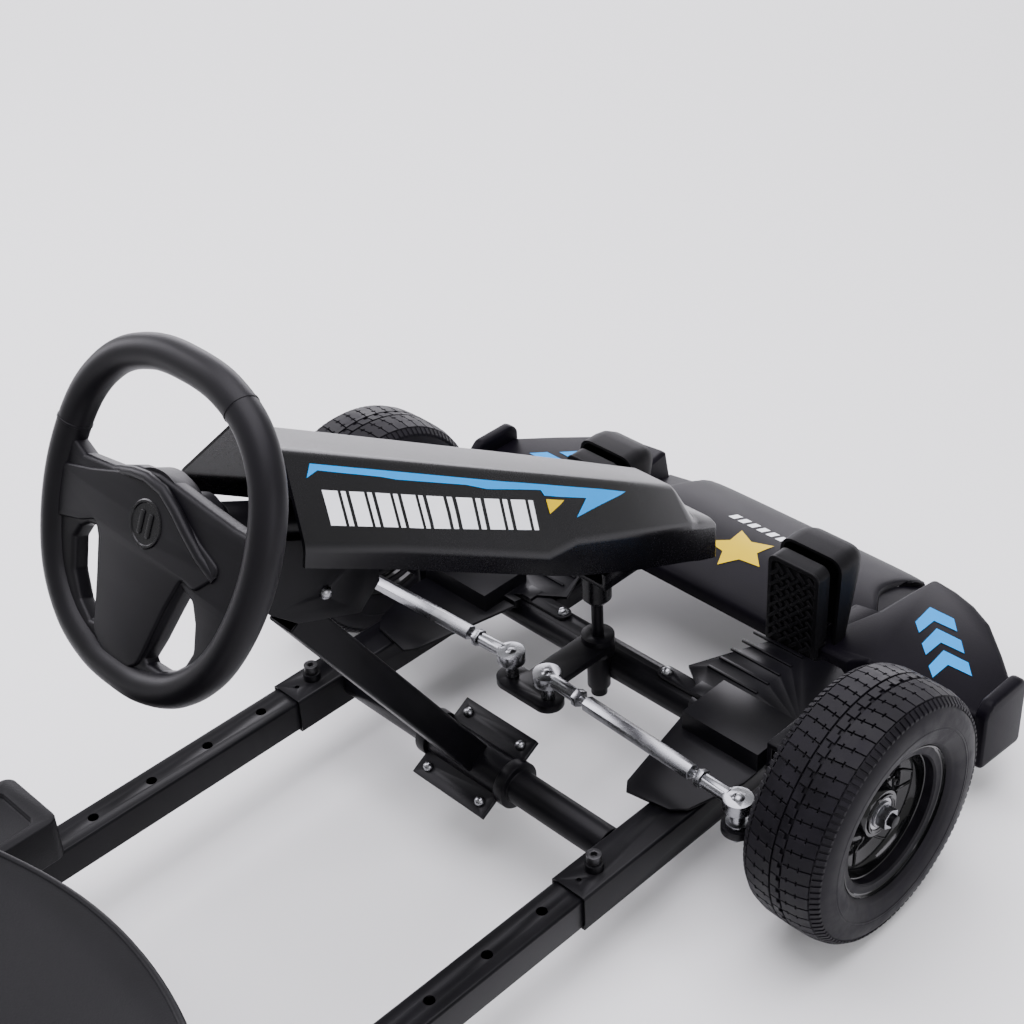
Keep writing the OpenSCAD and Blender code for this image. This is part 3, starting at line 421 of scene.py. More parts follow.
def rounded(corners, radius, steps=6):
    """An outline in millimetres with its corners rounded."""
    made, n = [], len(corners)
    radii = radius if isinstance(radius, (list, tuple)) else [radius] * n
    for i, (p, r) in enumerate(zip(corners, radii)):
        p, a, b = Vector(p), Vector(corners[i - 1]), Vector(corners[(i + 1) % n])
        u, v = (a - p).normalized(), (b - p).normalized()
        reach = min(r / max(math.tan(u.angle(v) / 2), 0.2), 0.45 * (a - p).length, 0.45 * (b - p).length)
        start, stop = p + u * reach, p + v * reach
        for k in range(steps + 1):
            t = k / steps
            made.append(tuple((1 - t) ** 2 * start + 2 * t * (1 - t) * p + t * t * stop))
    return made


def cornered(corners):
    """A rounded outline from (x, y, radius) corners."""
    return rounded([(x, y) for x, y, _ in corners], [r for _, _, r in corners])


def tub(name, outline, top, low, flare, lip):
    """An open-bottomed moulding: an outline at the top whose walls spread down to the lower rim."""
    n = len(outline)
    middle = sum((Vector(p) for p in outline), Vector((0, 0))) / n
    heights = [(1.0, low), (0.25, top - lip * 0.9), (0.08, top - lip * 0.3), (0.0, top)]
    inset = [0, 0, lip * 0.35, lip]
    points, faces = [], []
    for (spread, z), pull in zip(heights, inset):
        for p in outline:
            q = Vector(p)
            away = (q - middle).normalized()
            q = q + away * (flare * spread - pull)
            points.append(at(q.x, q.y, z))
    for i in range(3):
        for k in range(n):
            m = (k + 1) % n
            faces.append((i * n + k, i * n + m, (i + 1) * n + m, (i + 1) * n + k))
    faces.append(tuple(3 * n + k for k in range(n)))
    return mesh_of(name, points, faces)


# ---------- repeated shapes ----------
def copies_tree():
    """Copies of a shape in a row or round a ring, as a node group with named sizes."""
    tree = bpy.data.node_groups.new("row_of_copies", "GeometryNodeTree")
    face = tree.interface
    face.new_socket("Geometry", in_out="INPUT", socket_type="NodeSocketGeometry")
    face.new_socket("Count", in_out="INPUT", socket_type="NodeSocketInt")
    face.new_socket("Step", in_out="INPUT", socket_type="NodeSocketVector")
    face.new_socket("Turn", in_out="INPUT", socket_type="NodeSocketVector")
    face.new_socket("Finish", in_out="INPUT", socket_type="NodeSocketMaterial")
    face.new_socket("Geometry", in_out="OUTPUT", socket_type="NodeSocketGeometry")

    def add(kind, **settings):
        made = tree.nodes.new(kind)
        for key, value in settings.items():
            setattr(made, key, value)
        return made

    link = tree.links.new
    given, result = add("NodeGroupInput"), add("NodeGroupOutput")
    one = add("GeometryNodeGeometryToInstance")
    index = add("GeometryNodeInputIndex")
    step = add("ShaderNodeVectorMath", operation="SCALE")
    turn = add("ShaderNodeVectorMath", operation="SCALE")
    places = add("GeometryNodePoints")
    rows = add("GeometryNodeInstanceOnPoints")
    real = add("GeometryNodeRealizeInstances")
    paint = add("GeometryNodeSetMaterial")
    link(given.outputs["Geometry"], one.inputs[0])
    for part, name in ((step, "Step"), (turn, "Turn")):
        link(given.outputs[name], part.inputs[0])
        link(index.outputs[0], part.inputs["Scale"])
    link(given.outputs["Count"], places.inputs["Count"])
    link(step.outputs[0], places.inputs["Position"])
    link(places.outputs[0], rows.inputs["Points"])
    link(one.outputs[0], rows.inputs["Instance"])
    link(turn.outputs[0], rows.inputs["Rotation"])
    link(rows.outputs[0], real.inputs[0])
    link(real.outputs[0], paint.inputs["Geometry"])
    link(given.outputs["Finish"], paint.inputs["Material"])
    link(paint.outputs[0], result.inputs[0])
    return tree


COPIES = copies_tree()


def copies(mesh, count, step=(0, 0, 0), turn=(0, 0, 0), material=None):
    """The shape repeated count times; the step is in millimetres and the turn in degrees."""
    obj = bpy.data.objects.new("copies", mesh)
    bpy.context.scene.collection.objects.link(obj)
    rows = obj.modifiers.new("rows", "NODES")
    rows.node_group = COPIES
    named = {s.name: s.identifier for s in COPIES.interface.items_tree if s.in_out == "INPUT"}
    rows[named["Count"]] = count
    rows[named["Step"]] = [v / 1000 for v in step]
    rows[named["Turn"]] = [math.radians(v) for v in turn]
    rows[named["Finish"]] = material
    made = evaluated(obj)
    bpy.data.objects.remove(obj)
    return made


# ---------- parts kept from the frame ----------
def refined(node, material, width=0.0007, segments=2):
    """A part of the frame with rounded edges, standing for the plain one."""
    mesh = NODES[node].data.copy()
    bm = bmesh.new()
    bm.from_mesh(mesh)
    bmesh.ops.remove_doubles(bm, verts=bm.verts, dist=2e-6)
    bmesh.ops.dissolve_degenerate(bm, edges=bm.edges, dist=1e-6)
    bmesh.ops.dissolve_limit(bm, angle_limit=math.radians(1.0), verts=bm.verts, edges=bm.edges)
    bm.to_mesh(mesh)
    bm.free()
    kind = bevel(width, segments, 34)
    return piece(node + "_finished", mesh, material, BODY_OF[node], [node], 36, [kind])


EDGED = {
    POWDER: {"side_sleeves": 0.0012, "rear_rails": 0.0015, "kingpin_brackets": 0.0008, "clamp_lower": 0.0007,
             "clamp_upper": 0.0007, "steering_post": 0.0016, "column_bracket": 0.0006, "nose_frame": 0.0006,
             "pitman_arm": 0.0012, "knuckle_left": 0.0008, "knuckle_right": 0.0008, "rear_cross_tubes": 0.0014,
             "axle_clamps": 0.0012, "seat_brackets": 0.0008, "front_beam": 0.0006, "cross_tube": 0.0006},
    ZINC: {"kingpins": 0.0006, "frame_bolts": 0.0003, "pitman_studs": 0.0003, "rod_ends_left": 0.0003,
           "rod_ends_right": 0.0003, "axle_fittings_left": 0.0004, "axle_fittings_right": 0.0004,
           "tie_rod_left": 0.0003, "tie_rod_right": 0.0003, "rear_axle": 0.0005},
    OXIDE: {"rail_clamp_screws": 0.0006},
    BONNET_PLASTIC: {"gear_housing": 0.0008},
    SEAT_PLASTIC: {"side_pods": 0.003, "battery_box": 0.003},
}
PLAIN = {
    POWDER: ["rear_bumper", "pitman_shaft"],
    STEEL: ["steering_shaft", "column_gear", "shaft_gear", "pedal_pins", "pedal_springs",
            "front_left_bearings", "front_right_bearings", "rear_left_bearings", "rear_right_bearings"],
    BUSH_PLASTIC: ["steering_bushes"],
    WINDING: ["motor_stators"],
}
for finish, parts in EDGED.items():
    for part, width in parts.items():
        refined(part, finish, width)
for finish, parts in PLAIN.items():
    for part in parts:
        painted(NODES[part].data, finish)


# ---------- tyres ----------
TYRE_R = 127.0
TREAD_FLAT = 27  # half the width of the nearly flat middle of the tread
TREAD_PITCHES = 54
GROOVE, GROOVE_DEPTH, SHOULDER_DEPTH = 1.3, 2.4, 2.0


def crown(x):
    """The radius of the tread at a distance from the middle of the tyre."""
    a = abs(x)
    if a <= TREAD_FLAT:
        return TYRE_R - 0.2 - (a / TREAD_FLAT) ** 2
    past = a - TREAD_FLAT
    return TYRE_R - 1.2 - 0.22 * past - 0.024 * past ** 2


def tread_block(outline, depth, proud=0.0):
    """A block of tread; its outline is (along, round) in millimetres, and its top follows the crown."""
    n = len(outline)
    turn = sum(a[0] * b[1] - b[0] * a[1] for a, b in zip(outline, outline[1:] + outline[:1]))
    points = []
    for inset, drop in ((-0.25, depth), (0.0, 0.4), (0.4, 0.0)):
        for k in range(n):
            before, here, after = (Vector(outline[(k + i) % n]) for i in (-1, 0, 1))
            u, v = (here - before).normalized(), (after - here).normalized()
            across = Vector((-(u.y + v.y), u.x + v.x)).normalized() * (1 if turn > 0 else -1)
            x, a = here + across * inset
            r = crown(x) + proud - drop
            points.append(Vector((x, r * math.sin(a / TYRE_R), r * math.cos(a / TYRE_R))) / 1000)
    faces = [((i * n + k), (i * n + (k + 1) % n), ((i + 1) * n + (k + 1) % n), ((i + 1) * n + k))
             for i in range(2) for k in range(n)]
    faces.append(tuple(2 * n + k for k in range(n)))
    return mesh_of("block", points, faces)


def tread_mesh():
    """All the blocks of one tyre, round the wheel's own axle."""
    pitch = 2 * math.pi * TYRE_R / TREAD_PITCHES
    w = pitch - GROOVE
    middle = [(-4.6, 0.4), (4.6, -0.4), (4.6, w * 0.62), (1.6, w * 0.62), (1.6, w), (-4.6, w)]
    side = [(6.4, 0.8), (11.6, 1.4), (11.6, 3.6), (13, 3.6), (13, 1.7), (21.5, 2.9), (21.5, 5.1), (23, 5.1),
            (23, 3.1), (33.4, 4.6), (33.4, 4.6 + w), (23, 3.1 + w), (23, w + 1), (21.5, w + 1), (21.5, 2.9 + w),
            (13, 1.7 + w), (13, w - 0.4), (11.6, w - 0.4), (11.6, 1.4 + w), (6.4, 0.8 + w)]
    far_side = [(-x, a + pitch / 2) for x, a in reversed(side)]
    blocks = joined("blocks", [tread_block(outline, GROOVE_DEPTH) for outline in (middle, side, far_side)])
    tread = copies(blocks, TREAD_PITCHES, turn=(-360 / TREAD_PITCHES, 0, 0), material=RUBBER)
    ribs = 2 * TREAD_PITCHES
    rib_pitch = 2 * math.pi * TYRE_R / ribs
    short = [(34.6, 0), (41.4, 0.6), (41.4, 0.6 + rib_pitch * 0.6), (34.6, rib_pitch * 0.66)]
    short_far = [(-x, a) for x, a in reversed(short)]
    shoulders = joined("ribs", [tread_block(outline, SHOULDER_DEPTH, 0.2) for outline in (short, short_far)])
    ribbed = copies(shoulders, ribs, turn=(-360 / ribs, 0, 0), material=RUBBER)
    return joined("tread", [tread, ribbed])


# half of the casing's section as (along, radius), from the middle of the tread round to the bead
CASING = [(0, 124.3), (4, 124.3), (14, 124.2), (27, 123.4), (34, 121.4), (36, 120.4),
          (39.5, 117.6), (42.4, 113.2), (44.2, 107), (44.9, 101.5), (45, 98.4), (44.7, 97.9), (45, 97.3), (45, 95.9),
          (44.5, 95.4), (44.1, 92.4), (43.2, 88), (41.6, 83.2), (40.6, 81.8), (40.4, 80.9), (39.4, 79.6), (37, 77.2),
          (34.8, 75.9), (33.6, 74), (33, 66), (31, 64.4)]
casing = CASING + [(-x, r) for x, r in reversed(CASING[1:])]
TYRE = joined("tyre", [spun("casing", casing, 128), tread_mesh()])

# ---------- rims ----------
# the pressed rim's section as (along, radius): its outer face from flange to hub, then its inner face back again
RIM_OUTSIDE = [(37, 75.0), (36.6, 76.0), (35.4, 76.1), (34.4, 75.2), (34.2, 73.6), (33.0, 72.2), (30.0, 71.4),
               (26.6, 70.6), (24.2, 68.4), (23.0, 65.4), (21.6, 63.6), (14, 62.4), (11.6, 60.6), (10.2, 57.2),
               (6.6, 51.6), (5.0, 47.4), (5.2, 43.6), (6.8, 39.4), (7.0, 33.6), (6.0, 31.4), (6.2, 29.2),
               (9.4, 27.6), (18.4, 24.6), (20, 23.2), (20, 16.3)]
RIM_INSIDE = [(10, 16.3), (10, 20.4), (4, 22.8), (1.4, 25.0), (1.0, 44), (2.0, 50.4), (6.4, 57.6), (7, 60.4),
              (2, 61.2), (-22, 61.6), (-26.6, 66.4), (-30, 69.4), (-34.2, 71.6), (-35, 74.6), (-36.6, 76),
              (-37, 75), (-36.2, 70.6), (-31, 67.4), (-27.6, 63.8), (-24, 62.4), (-18, 63.9), (14, 65.0),
              (20.8, 66.0), (22, 69.6), (25.8, 72.8), (31.4, 73.8), (34, 75.2)]


PETALS, STUD_R = 6, 0.043
WHEEL_X = 335.0
AXLES = {"front": 8.0, "rear": -842.0}


def dish(r):
    """How far out the web of the rim stands at a radius, in millimetres."""
    rows = sorted((q[1], q[0]) for q in RIM_OUTSIDE if 27 < q[1] < 62)
    for (r0, x0), (r1, x1) in zip(rows, rows[1:]):
        if r0 <= r <= r1:
            return x0 + (x1 - x0) * (r - r0) / (r1 - r0)
    return rows[0][1] if r < rows[0][0] else rows[-1][1]


def rim_mesh():
    """The wheel rim: stepped flanges, a deep dish and embossed petals round the hub."""
    shell = spun("rim", RIM_OUTSIDE + RIM_INSIDE, 96)
    ribs, steps = [], 14
    for hand in (-1, 1):
        path = []
        for k in range(steps + 1):
            t = k / steps
            angle, r = math.radians(hand * (9 + 15 * t ** 1.6)), 30.5 + 28.5 * t
            path.append(Vector((dish(r) + 0.3, r * math.sin(angle), r * math.cos(angle))) / 1000)
        ribs.append(tube("rib", path, 0.0013, 8))
    stud = spun("stud", [(3.4, 0.01), (3.4, 4.6), (6.6, 4.4), (7.6, 3.2), (7.8, 0.01)], 20, "X", False)
    between = math.pi / PETALS
    ribs.append(moved(stud, Matrix.Translation((0, STUD_R * math.sin(between), STUD_R * math.cos(between)))))
    petals = copies(joined("ribs", ribs), PETALS, turn=(360 / PETALS, 0, 0), material=GLOSS)
    boss_ring = spun("boss", [(20, 20.4), (21.4, 19.8), (21.6, 18.2), (20.8, 16.4), (20, 16.4)], 64)
    return joined("rim", [shell, petals, boss_ring])


RIM = rim_mesh()
for end, along in AXLES.items():
    for side, hand in (("left", -1), ("right", 1)):
        place = Matrix.Translation(at(hand * WHEEL_X, along, TYRE_R))
        name = end + "_" + side
        tyre, rim = (TYRE, RIM) if hand > 0 else (mirrored(TYRE), mirrored(RIM))
        piece(name + "_tread", moved(tyre, place), RUBBER, name + "_wheel", [name + "_tyre"], 28)
        piece(name + "_wheel_rim", moved(rim, place), GLOSS, name + "_wheel", [name + "_rim"], 30)

# ---------- bonnet ----------
# (along, height, half width) of the top edge, the ledge and the skirt, from the driver's end forwards
BONNET_ROWS = [
    [(-350, 553, 30), (-375, 498, 79), (-379, 481, 80)],
    [(-282, 513, 30), (-282, 444, 75), (-284, 424, 75)],
    [(-111, 412, 29), (-111, 339, 70), (-112, 318, 70)],
    [(-70, 388, 28), (-70, 331, 65), (-72, 293, 65)],
    [(16, 337, 27), (16, 292, 62), (14, 250, 62)],
    [(106, 283, 26), (106, 246, 50), (104, 204, 50)],
    [(122, 248, 28), (124, 236, 46), (124, 192, 46)],
    [(156, 222, 30), (158, 218, 40), (158, 175, 40)]]


def bonnet_mesh():
    """The long cowl over the steering column, open below and at the driver's end."""
    points = []
    for top, ledge, skirt in BONNET_ROWS:
        half = [(skirt, 1), (ledge, 1), (top, 1), (top, -1), (ledge, -1), (skirt, -1)]
        points += [at(hand * p[2], p[0], p[1]) for p, hand in half]
    faces = sheet_faces(len(BONNET_ROWS), len(half))
    faces.append(tuple(range(len(points) - len(half), len(points))))
    mesh = mesh_of("bonnet", points, faces)
    outward_from(mesh, at(0, -120, 330))
    return mesh


bonnet = piece("bonnet_cowl", bonnet_mesh(), BONNET_PLASTIC, "front_frame", ["bonnet"], 40,
               [bevel(0.0052, 4, 7), wall(0.0028)])

# ---------- nose fairing ----------
# the right wing's outline, each corner with the radius that rounds it
WING = [(150, 248, 3), (176, 254, 6), (187, 337, 6), (215, 333, 14), (241, 325, 16), (269, 310, 16),
        (306, 276, 14), (342, 240, 6), (342, 184, 6), (215, 184, 6), (200, 170, 6), (150, 167, 3)]


def centre_panel():
    """The curved middle panel of the nose, from its rear lip over the top and down to its front lip."""
    line = [(165, 100), (165, 112), (168, 117), (180, 118), (235, 118), (262, 117), (290, 113), (318, 105.5),
            (345, 94.5), (366, 83), (380, 73.5), (384.5, 68), (385.5, 60), (385.5, 46)]
    points = []
    for y, z in line:
        half = 181 if y < 250 else 181 - 34 * min((y - 250) / 42, 1)  # it narrows ahead of the wings
        drop = 2.0 if z < 101 else 14.0
        for x, down in ((-half, drop), (-half + 0.5, 3.0), (-half + 4, 0.4), (-half * 0.5, 0), (0, 0),
                        (half * 0.5, 0), (half - 4, 0.4), (half - 0.5, 3.0), (half, drop)):
            points.append(at(x, y - (down * 0.25 if y > 380 else 0), z - down if z > 60 else z))
    mesh = mesh_of("centre", points, sheet_faces(len(line), len(points) // len(line)))
    outward_from(mesh, at(0, 260, 20))
    return mesh


def notch_floor():
    """The sunk web between the middle panel and a wing."""
    rows = [[(146, 288, 106), (182, 250, 108)], [(146, 330, 92), (188, 300, 96)], [(146, 376, 66), (190, 350, 78)],
            [(146, 380, 48), (192, 356, 60)]]
    points = [at(*p) for row in rows for p in (row[0], [(a + b) / 2 for a, b in zip(*row)], row[1])]
    mesh = mesh_of("notch", points, sheet_faces(len(rows), 3))
    outward_from(mesh, at(165, 300, 20))
    return mesh


def end_pod():
    """The upright plate with a rounded head that closes a wing's outer end."""
    outline = rounded([(181, 64), (243, 58), (243, 128), (236, 134), (190, 134), (181, 126)], [3, 3, 10, 8, 8, 10])
    return plate("pod", [outline], 14, 4, Matrix.Translation(at(347, 0, 0)) @ ON_SIDE)


wing = tub("wing", cornered(WING), 119.0, 72, 8, 3.5)
outward_from(wing, at(265, 250, 40))
thin = [bevel(0.0012, 2, 25), wall(0.0024)]
for side, hand in (("left", -1), ("right", 1)):
    for name, mesh, steps in (("wing", wing, [wall(0.0025)]), ("notch", notch_floor(), thin),
                              ("end_pod", end_pod(), ())):
        mesh = mesh.copy() if hand > 0 else mirrored(mesh)
        piece("nose_%s_%s" % (name, side), mesh, FAIRING_PLASTIC, "front_frame",
              ["front_fairing"], 30, steps)
piece("nose_centre", centre_panel(), FAIRING_PLASTIC, "front_frame", ["front_fairing"], 32,
      [smoothed(2), wall(0.0025)])


# ---------- decals ----------
def surface_of(objects):
    """Search trees over finished pieces, for laying decals on them."""
    trees = []
    for obj in objects:
        bm = bmesh.new()
        bm.from_mesh(obj.data)
        trees.append(BVHTree.FromBMesh(bm))
        bm.free()
    return trees


def decal(name, outlines, material, trees, start, ray, body, fine=6.0, lift=0.0004):
    """Flat outlines laid on a surface: each point of a fine grid is dropped along the ray."""
    bm = bmesh.new()
    for outline in outlines:
        bm.faces.new([bm.verts.new(start(p)) for p in outline])
    bm.normal_update()
    bmesh.ops.triangulate(bm, faces=bm.faces)
    for _ in range(5):
        long = [e for e in bm.edges if e.calc_length() > fine / 1000]
        if not long:
            break
        bmesh.ops.subdivide_edges(bm, edges=long, cuts=1)
        bmesh.ops.triangulate(bm, faces=[f for f in bm.faces if len(f.verts) > 3])
    ray = Vector(ray)
    for vert in bm.verts:
        best = None
        for tree in trees:
            hit, _, _, far = tree.ray_cast(vert.co, ray)
            if hit is not None and (best is None or far < best[1]):
                best = (hit, far)
        if best:
            vert.co = best[0] - ray * lift
    bmesh.ops.recalc_face_normals(bm, faces=bm.faces)
    if bm.faces and sum(f.normal.dot(ray) * f.calc_area() for f in bm.faces) > 0:
        bmesh.ops.reverse_faces(bm, faces=bm.faces)
    mesh = bpy.data.meshes.new(name)
    bm.to_mesh(mesh)
    bm.free()
    return piece(name, mesh, material, body)


# outlines on the bonnet's side as (along, height), on the nose as (across, along)
BAND = [(-341, 528), (-331, 533), (-242, 480), (-133, 415), (-8, 342), (27, 321), (-57, 344), (-32, 347),
        (-85, 377), (-87, 383), (-154, 420), (-176, 435), (-251, 479), (-266, 489), (-327, 526)]
ARROW = [(-85, 374), (-63, 362), (-88, 363)]
CHEVRON = [(211, 293), (240, 293), (254, 278), (227, 277), (227, 251), (214, 263)]
STAR_Y, STAR_TIP, STAR_NOTCH = 245, 38, 19.4
DOWN = (0, 0, -1)
cowl = surface_of([bonnet])


def band_bars():
    """Slanted blocks in a row under the band, wide and narrow by turns."""
    upper = [(-334, 516), (-229, 455), (-100, 381)]

    def along(t):
        t = t * 2
        i = min(int(t), 1)
        return tuple(upper[i][q] + (upper[i + 1][q] - upper[i][q]) * (t - i) for q in (0, 1))

    bars = []
    for k in range(8):
        for start, stop in ((0.06, 0.62), (0.74, 0.92)):
            p, q = along((k + start) / 8), along((k + stop) / 8)
            bars.append([p, q, (q[0] - 8, q[1] - 21), (p[0] - 8, p[1] - 21)])
    return bars


for side, hand in (("left", -1), ("right", 1)):
    for name, shapes, tint in (("band", [BAND], CYAN), ("arrow", [ARROW], YELLOW), ("bars", band_bars(), WHITE)):
        decal("bonnet_%s_%s" % (name, side), shapes, tint, cowl, lambda p: at(hand * 200, p[0], p[1]),
              (-hand, 0, 0), "front_frame")



def above_nose(p):
    return at(p[0], p[1], 200)


panels = surface_of([o for o in bpy.context.scene.objects if o.name.startswith("nose_")])
for side, hand in (("left", -1), ("right", 1)):
    shapes = [[(hand * (x + 25 * k), y - 24.5 * k) for x, y in CHEVRON] for k in range(3)]
    decal("nose_chevrons_" + side, shapes, CYAN, panels, above_nose, DOWN, "front_frame")
star = []
for k in range(10):
    r, a = (STAR_TIP if k % 2 == 0 else STAR_NOTCH), math.radians(-90 + 36 * k)
    star.append((r * math.cos(a), STAR_Y + r * math.sin(a)))
decal("nose_star", [star], YELLOW, panels, above_nose, DOWN, "front_frame", 5.0)
bars = [[(x + 13 * k, y) for x, y in ((-53, 290), (-45, 290), (-42, 302), (-50, 302))] for k in range(8)]
decal("nose_bars", bars, WHITE, panels, above_nose, DOWN, "front_frame", 5.0)


# ---------- steering wheel ----------
TILT = math.radians(26)  # the wheel's plane leans this far from upright
RIGHT = Vector((1, 0, 0))
RISE = Vector((0, math.sin(TILT), math.cos(TILT)))
FACE = Vector((0, -math.cos(TILT), math.sin(TILT)))
ON_WHEEL = Matrix.Translation(at(0, -452, 524)) @ Matrix((RIGHT, RISE, FACE)).transposed().to_4x4()


def smooth_loop(knots, steps=8):
    """A closed smooth line through the knots, in millimetres."""
    n, made = len(knots), []
    for i in range(n):
        a, b, c, d = (Vector(knots[(i + k) % n]) for k in (-1, 0, 1, 2))
        for k in range(steps):
            t = k / steps
            made.append(0.5 * (2 * b + (c - a) * t + (2 * a - 5 * b + 4 * c - d) * t ** 2
                               + (3 * b - a - 3 * c + d) * t ** 3))
    return made


HALF_RIM = [(0, 125), (42, 121), (82, 103), (110, 68), (121, 20), (117, -28), (100, -72), (70, -103), (34, -118)]
RIM_KNOTS = HALF_RIM + [(0, -121)] + [(-x, y) for x, y in reversed(HALF_RIM[1:])]
RIM_LINE = smooth_loop(RIM_KNOTS)


def rim_part(low, high, scale):
    """The stretch of the wheel's line between two angles, drawn in towards the hub."""
    picked = [p * scale for p in RIM_LINE if low <= math.degrees(math.atan2(p.y, p.x)) <= high]
    return sorted((tuple(p) for p in picked), key=lambda p: math.atan2(p[1], p[0]))


# windows and the raised spoke plate, each corner with the radius that rounds it
LEFT_WINDOW = [(-86, -44, 6), (-80, -31, 6), (-70, -24, 6), (-58, -22, 6), (-52, -31, 8), (-44, -58, 20),
               (-33, -99, 5), (-44, -101, 5), (-62, -90, 10), (-78, -70, 14)]
RIGHT_WINDOW = [(50, -25, 4), (68, -32, 10), (77, -47, 10), (83, -69, 12), (77, -84, 12), (64, -96, 12),
                (50, -102, 10), (32, -103, 6), (25, -98, 6), (33, -78, 14), (41, -52, 14)]
SPOKES = [(-120, 2, 5), (-76, 13, 10), (-42, 24, 16), (-10, 31, 14), (16, 30, 14), (34, 21, 20), (60, 8, 20),
          (88, -2, 6), (66, -24, 8), (50, -20, 8), (38, -52, 16), (24, -102, 10), (0, -120, 20), (-31, -100, 10),
          (-40, -56, 16), (-48, -28, 10), (-58, -17, 10), (-78, -26, 10), (-114, -36, 6)]
CREST = [(-42, 26, 4), (-26, 31, 7), (-8, 34, 9), (14, 32, 10), (32, 23, 10), (48, 12, 9), (66, 0, 7), (84, -9, 4)]


def wheel_mesh():
    """The grip, the web with its three windows, the raised spokes, the hub and the crest over it."""
    grip = tube("grip", [Vector((p.x, p.y, 0)) / 1000 for p in RIM_LINE], 0.014, 24, True)
    lower_edge = [(-92, 17), (-54, 22), (-28, 32), (0, 36), (28, 34), (54, 32), (90, 30)]
    top_window = rounded(rim_part(14, 168, 0.95) + lower_edge, 4, 3)
    outer = [tuple(p * 0.985) for p in RIM_LINE]
    web = plate("web", [outer, top_window, cornered(LEFT_WINDOW), cornered(RIGHT_WINDOW)], 16, 4,
                Matrix.Translation((0, 0, -0.002)))
    raised = plate("raised", [cornered(SPOKES)], 5, 2.4, Matrix.Translation((0, 0, 0.0058)))
    hub = spun("hub", [(-52, 0.001), (-52, 20), (-49, 23), (-24, 23.5), (-20, 38), (-14, 42), (4, 42), (4, 0.001)],
               72, "Z", False)
    ridge = tube("ridge", [Vector(p) / 1000 for p in CREST], 0.0046, 14)
    return joined("wheel", [grip, web, raised, hub, ridge])


def seam_rings():
    """Thin raised rings where the grips of the rim end."""
    rings = []
    for spot in ((62, 112), (-116, 40)):
        index = min(range(len(RIM_LINE)), key=lambda i: (RIM_LINE[i] - Vector(spot)).length)
        p, q = RIM_LINE[index], RIM_LINE[(index + 1) % len(RIM_LINE)]
        ahead = Vector((q.x - p.x, q.y - p.y, 0)).normalized()
        ring = spun("ring", [(-1.4, 13.6), (-0.9, 14.5), (0.9, 14.5), (1.4, 13.6)], 40, "Z")
        turn = ahead.to_track_quat("Z", "Y").to_matrix().to_4x4()
        rings.append(moved(ring, Matrix.Translation(Vector((p.x, p.y, 0)) / 1000) @ turn))
    return joined("rings", rings)


piece("wheel_grip", moved(wheel_mesh(), ON_WHEEL), GRIP_SKIN, "steering_wheel_body",
      ["steering_wheel"], 38)
piece("wheel_seams", moved(seam_rings(), ON_WHEEL), GRIP_SKIN, "steering_wheel_body", (), 38)
badge = spun("badge", [(6, 0.001), (6, 19), (8.6, 19), (9.3, 18), (9.3, 16.4), (8.5, 15.6), (8.5, 0.001)],
             64, "Z", False)
slot_bar = plate("slot", [rounded([(-7, -9), (-3.4, -9), (-3.4, 9), (-7, 9)], 1.6)], 2, 0.6,
                 Matrix.Translation((0, 0, 0.0086)))
slots = copies(slot_bar, 2, (10.4, 0, 0), material=BONNET_PLASTIC)
piece("wheel_badge_face", moved(joined("badge", [badge, slots]), ON_WHEEL), BONNET_PLASTIC, "steering_wheel_body",
      ["wheel_badge"], 34)

# ---------- pedals ----------
UPRIGHT = Matrix(((1, 0, 0, 0), (0, 0, -1, 0), (0, 1, 0, 0), (0, 0, 0, 1)))
PAD_MIDDLE = at(0, 156.4, 158.0)  # the middle of a pad's face, before it moves aside
STUD_PITCH = 13.2
HOUSING_FOOT = 118
# the housing's sections from its open mouth to its back: how deep, half width and height
HOUSING = [(0.0, 38, 100), (0.35, 38, 100), (0.58, 37, 98.5), (0.78, 34, 94), (0.92, 29, 87), (1.0, 20, 76)]


def pedal_tread():
    """A raised border and crossed short bars over the face of a pad, centred on it."""
    edge = rounded([(-30, -55), (30, -55), (30, 55), (-30, 55)], 9)
    inner = [(x * 0.9, y * 0.945) for x, y in edge]
    border = plate("border", [edge, inner], 3.2, 1.0)
    one = plate("bar", [rounded([(-6.2, -1.2), (6.2, -1.2), (6.2, 1.2), (-6.2, 1.2)], 1.0, 3)], 3.4, 0.8)
    turned = [moved(one, Matrix.Translation(Vector(p) / 1000) @ Matrix.Rotation(math.radians(a), 4, "Z"))
              for p, a in (((0, 0, 0), 45), ((STUD_PITCH / 2, STUD_PITCH / 2, 0), -45))]
    pair = joined("pair", turned)
    row = copies(pair, 4, (STUD_PITCH, 0, 0))
    field = moved(copies(row, 7, (0, STUD_PITCH, 0)), Matrix.Translation((-0.0231, -0.0429, 0)))
    return joined("tread", [border, field])


def pedal_housing():
    """The rounded tub with an arched head behind a pad."""
    def arch(w, high):
        head = rounded([(-w, 0), (-w, high), (w, high), (w, 0)], [0.01, 17, 17, 0.01], 7)
        return [(x, z) for x, z in head if z > 0.5 or abs(x) > w - 0.5]

    points = []
    for depth, w, high in HOUSING:
        for x, z in arch(w, high):
            lean = z / 96
            points.append(at(x, 179 + 5 * lean + depth * (30 + 22 * lean), HOUSING_FOOT + z))
    n = len(points) // len(HOUSING)
    faces = sheet_faces(len(HOUSING), n)
    faces.append(tuple(range(len(points) - n, len(points))))
    mesh = mesh_of("housing", points, faces)
    outward_from(mesh, at(0, 195, 160))
    return mesh


def hinge_lugs():
    """The two ears that hold a pad's hinge pin."""
    lug = rounded([(167, 117.5), (188, 117.5), (184, 128), (178, 131), (168, 131), (166, 127)], 3)
    return joined("lugs", [plate("lug", [lug], 4, 0.8, Matrix.Translation(at(x, 0, 0)) @ ON_SIDE)
                           for x in (-12, 12)])


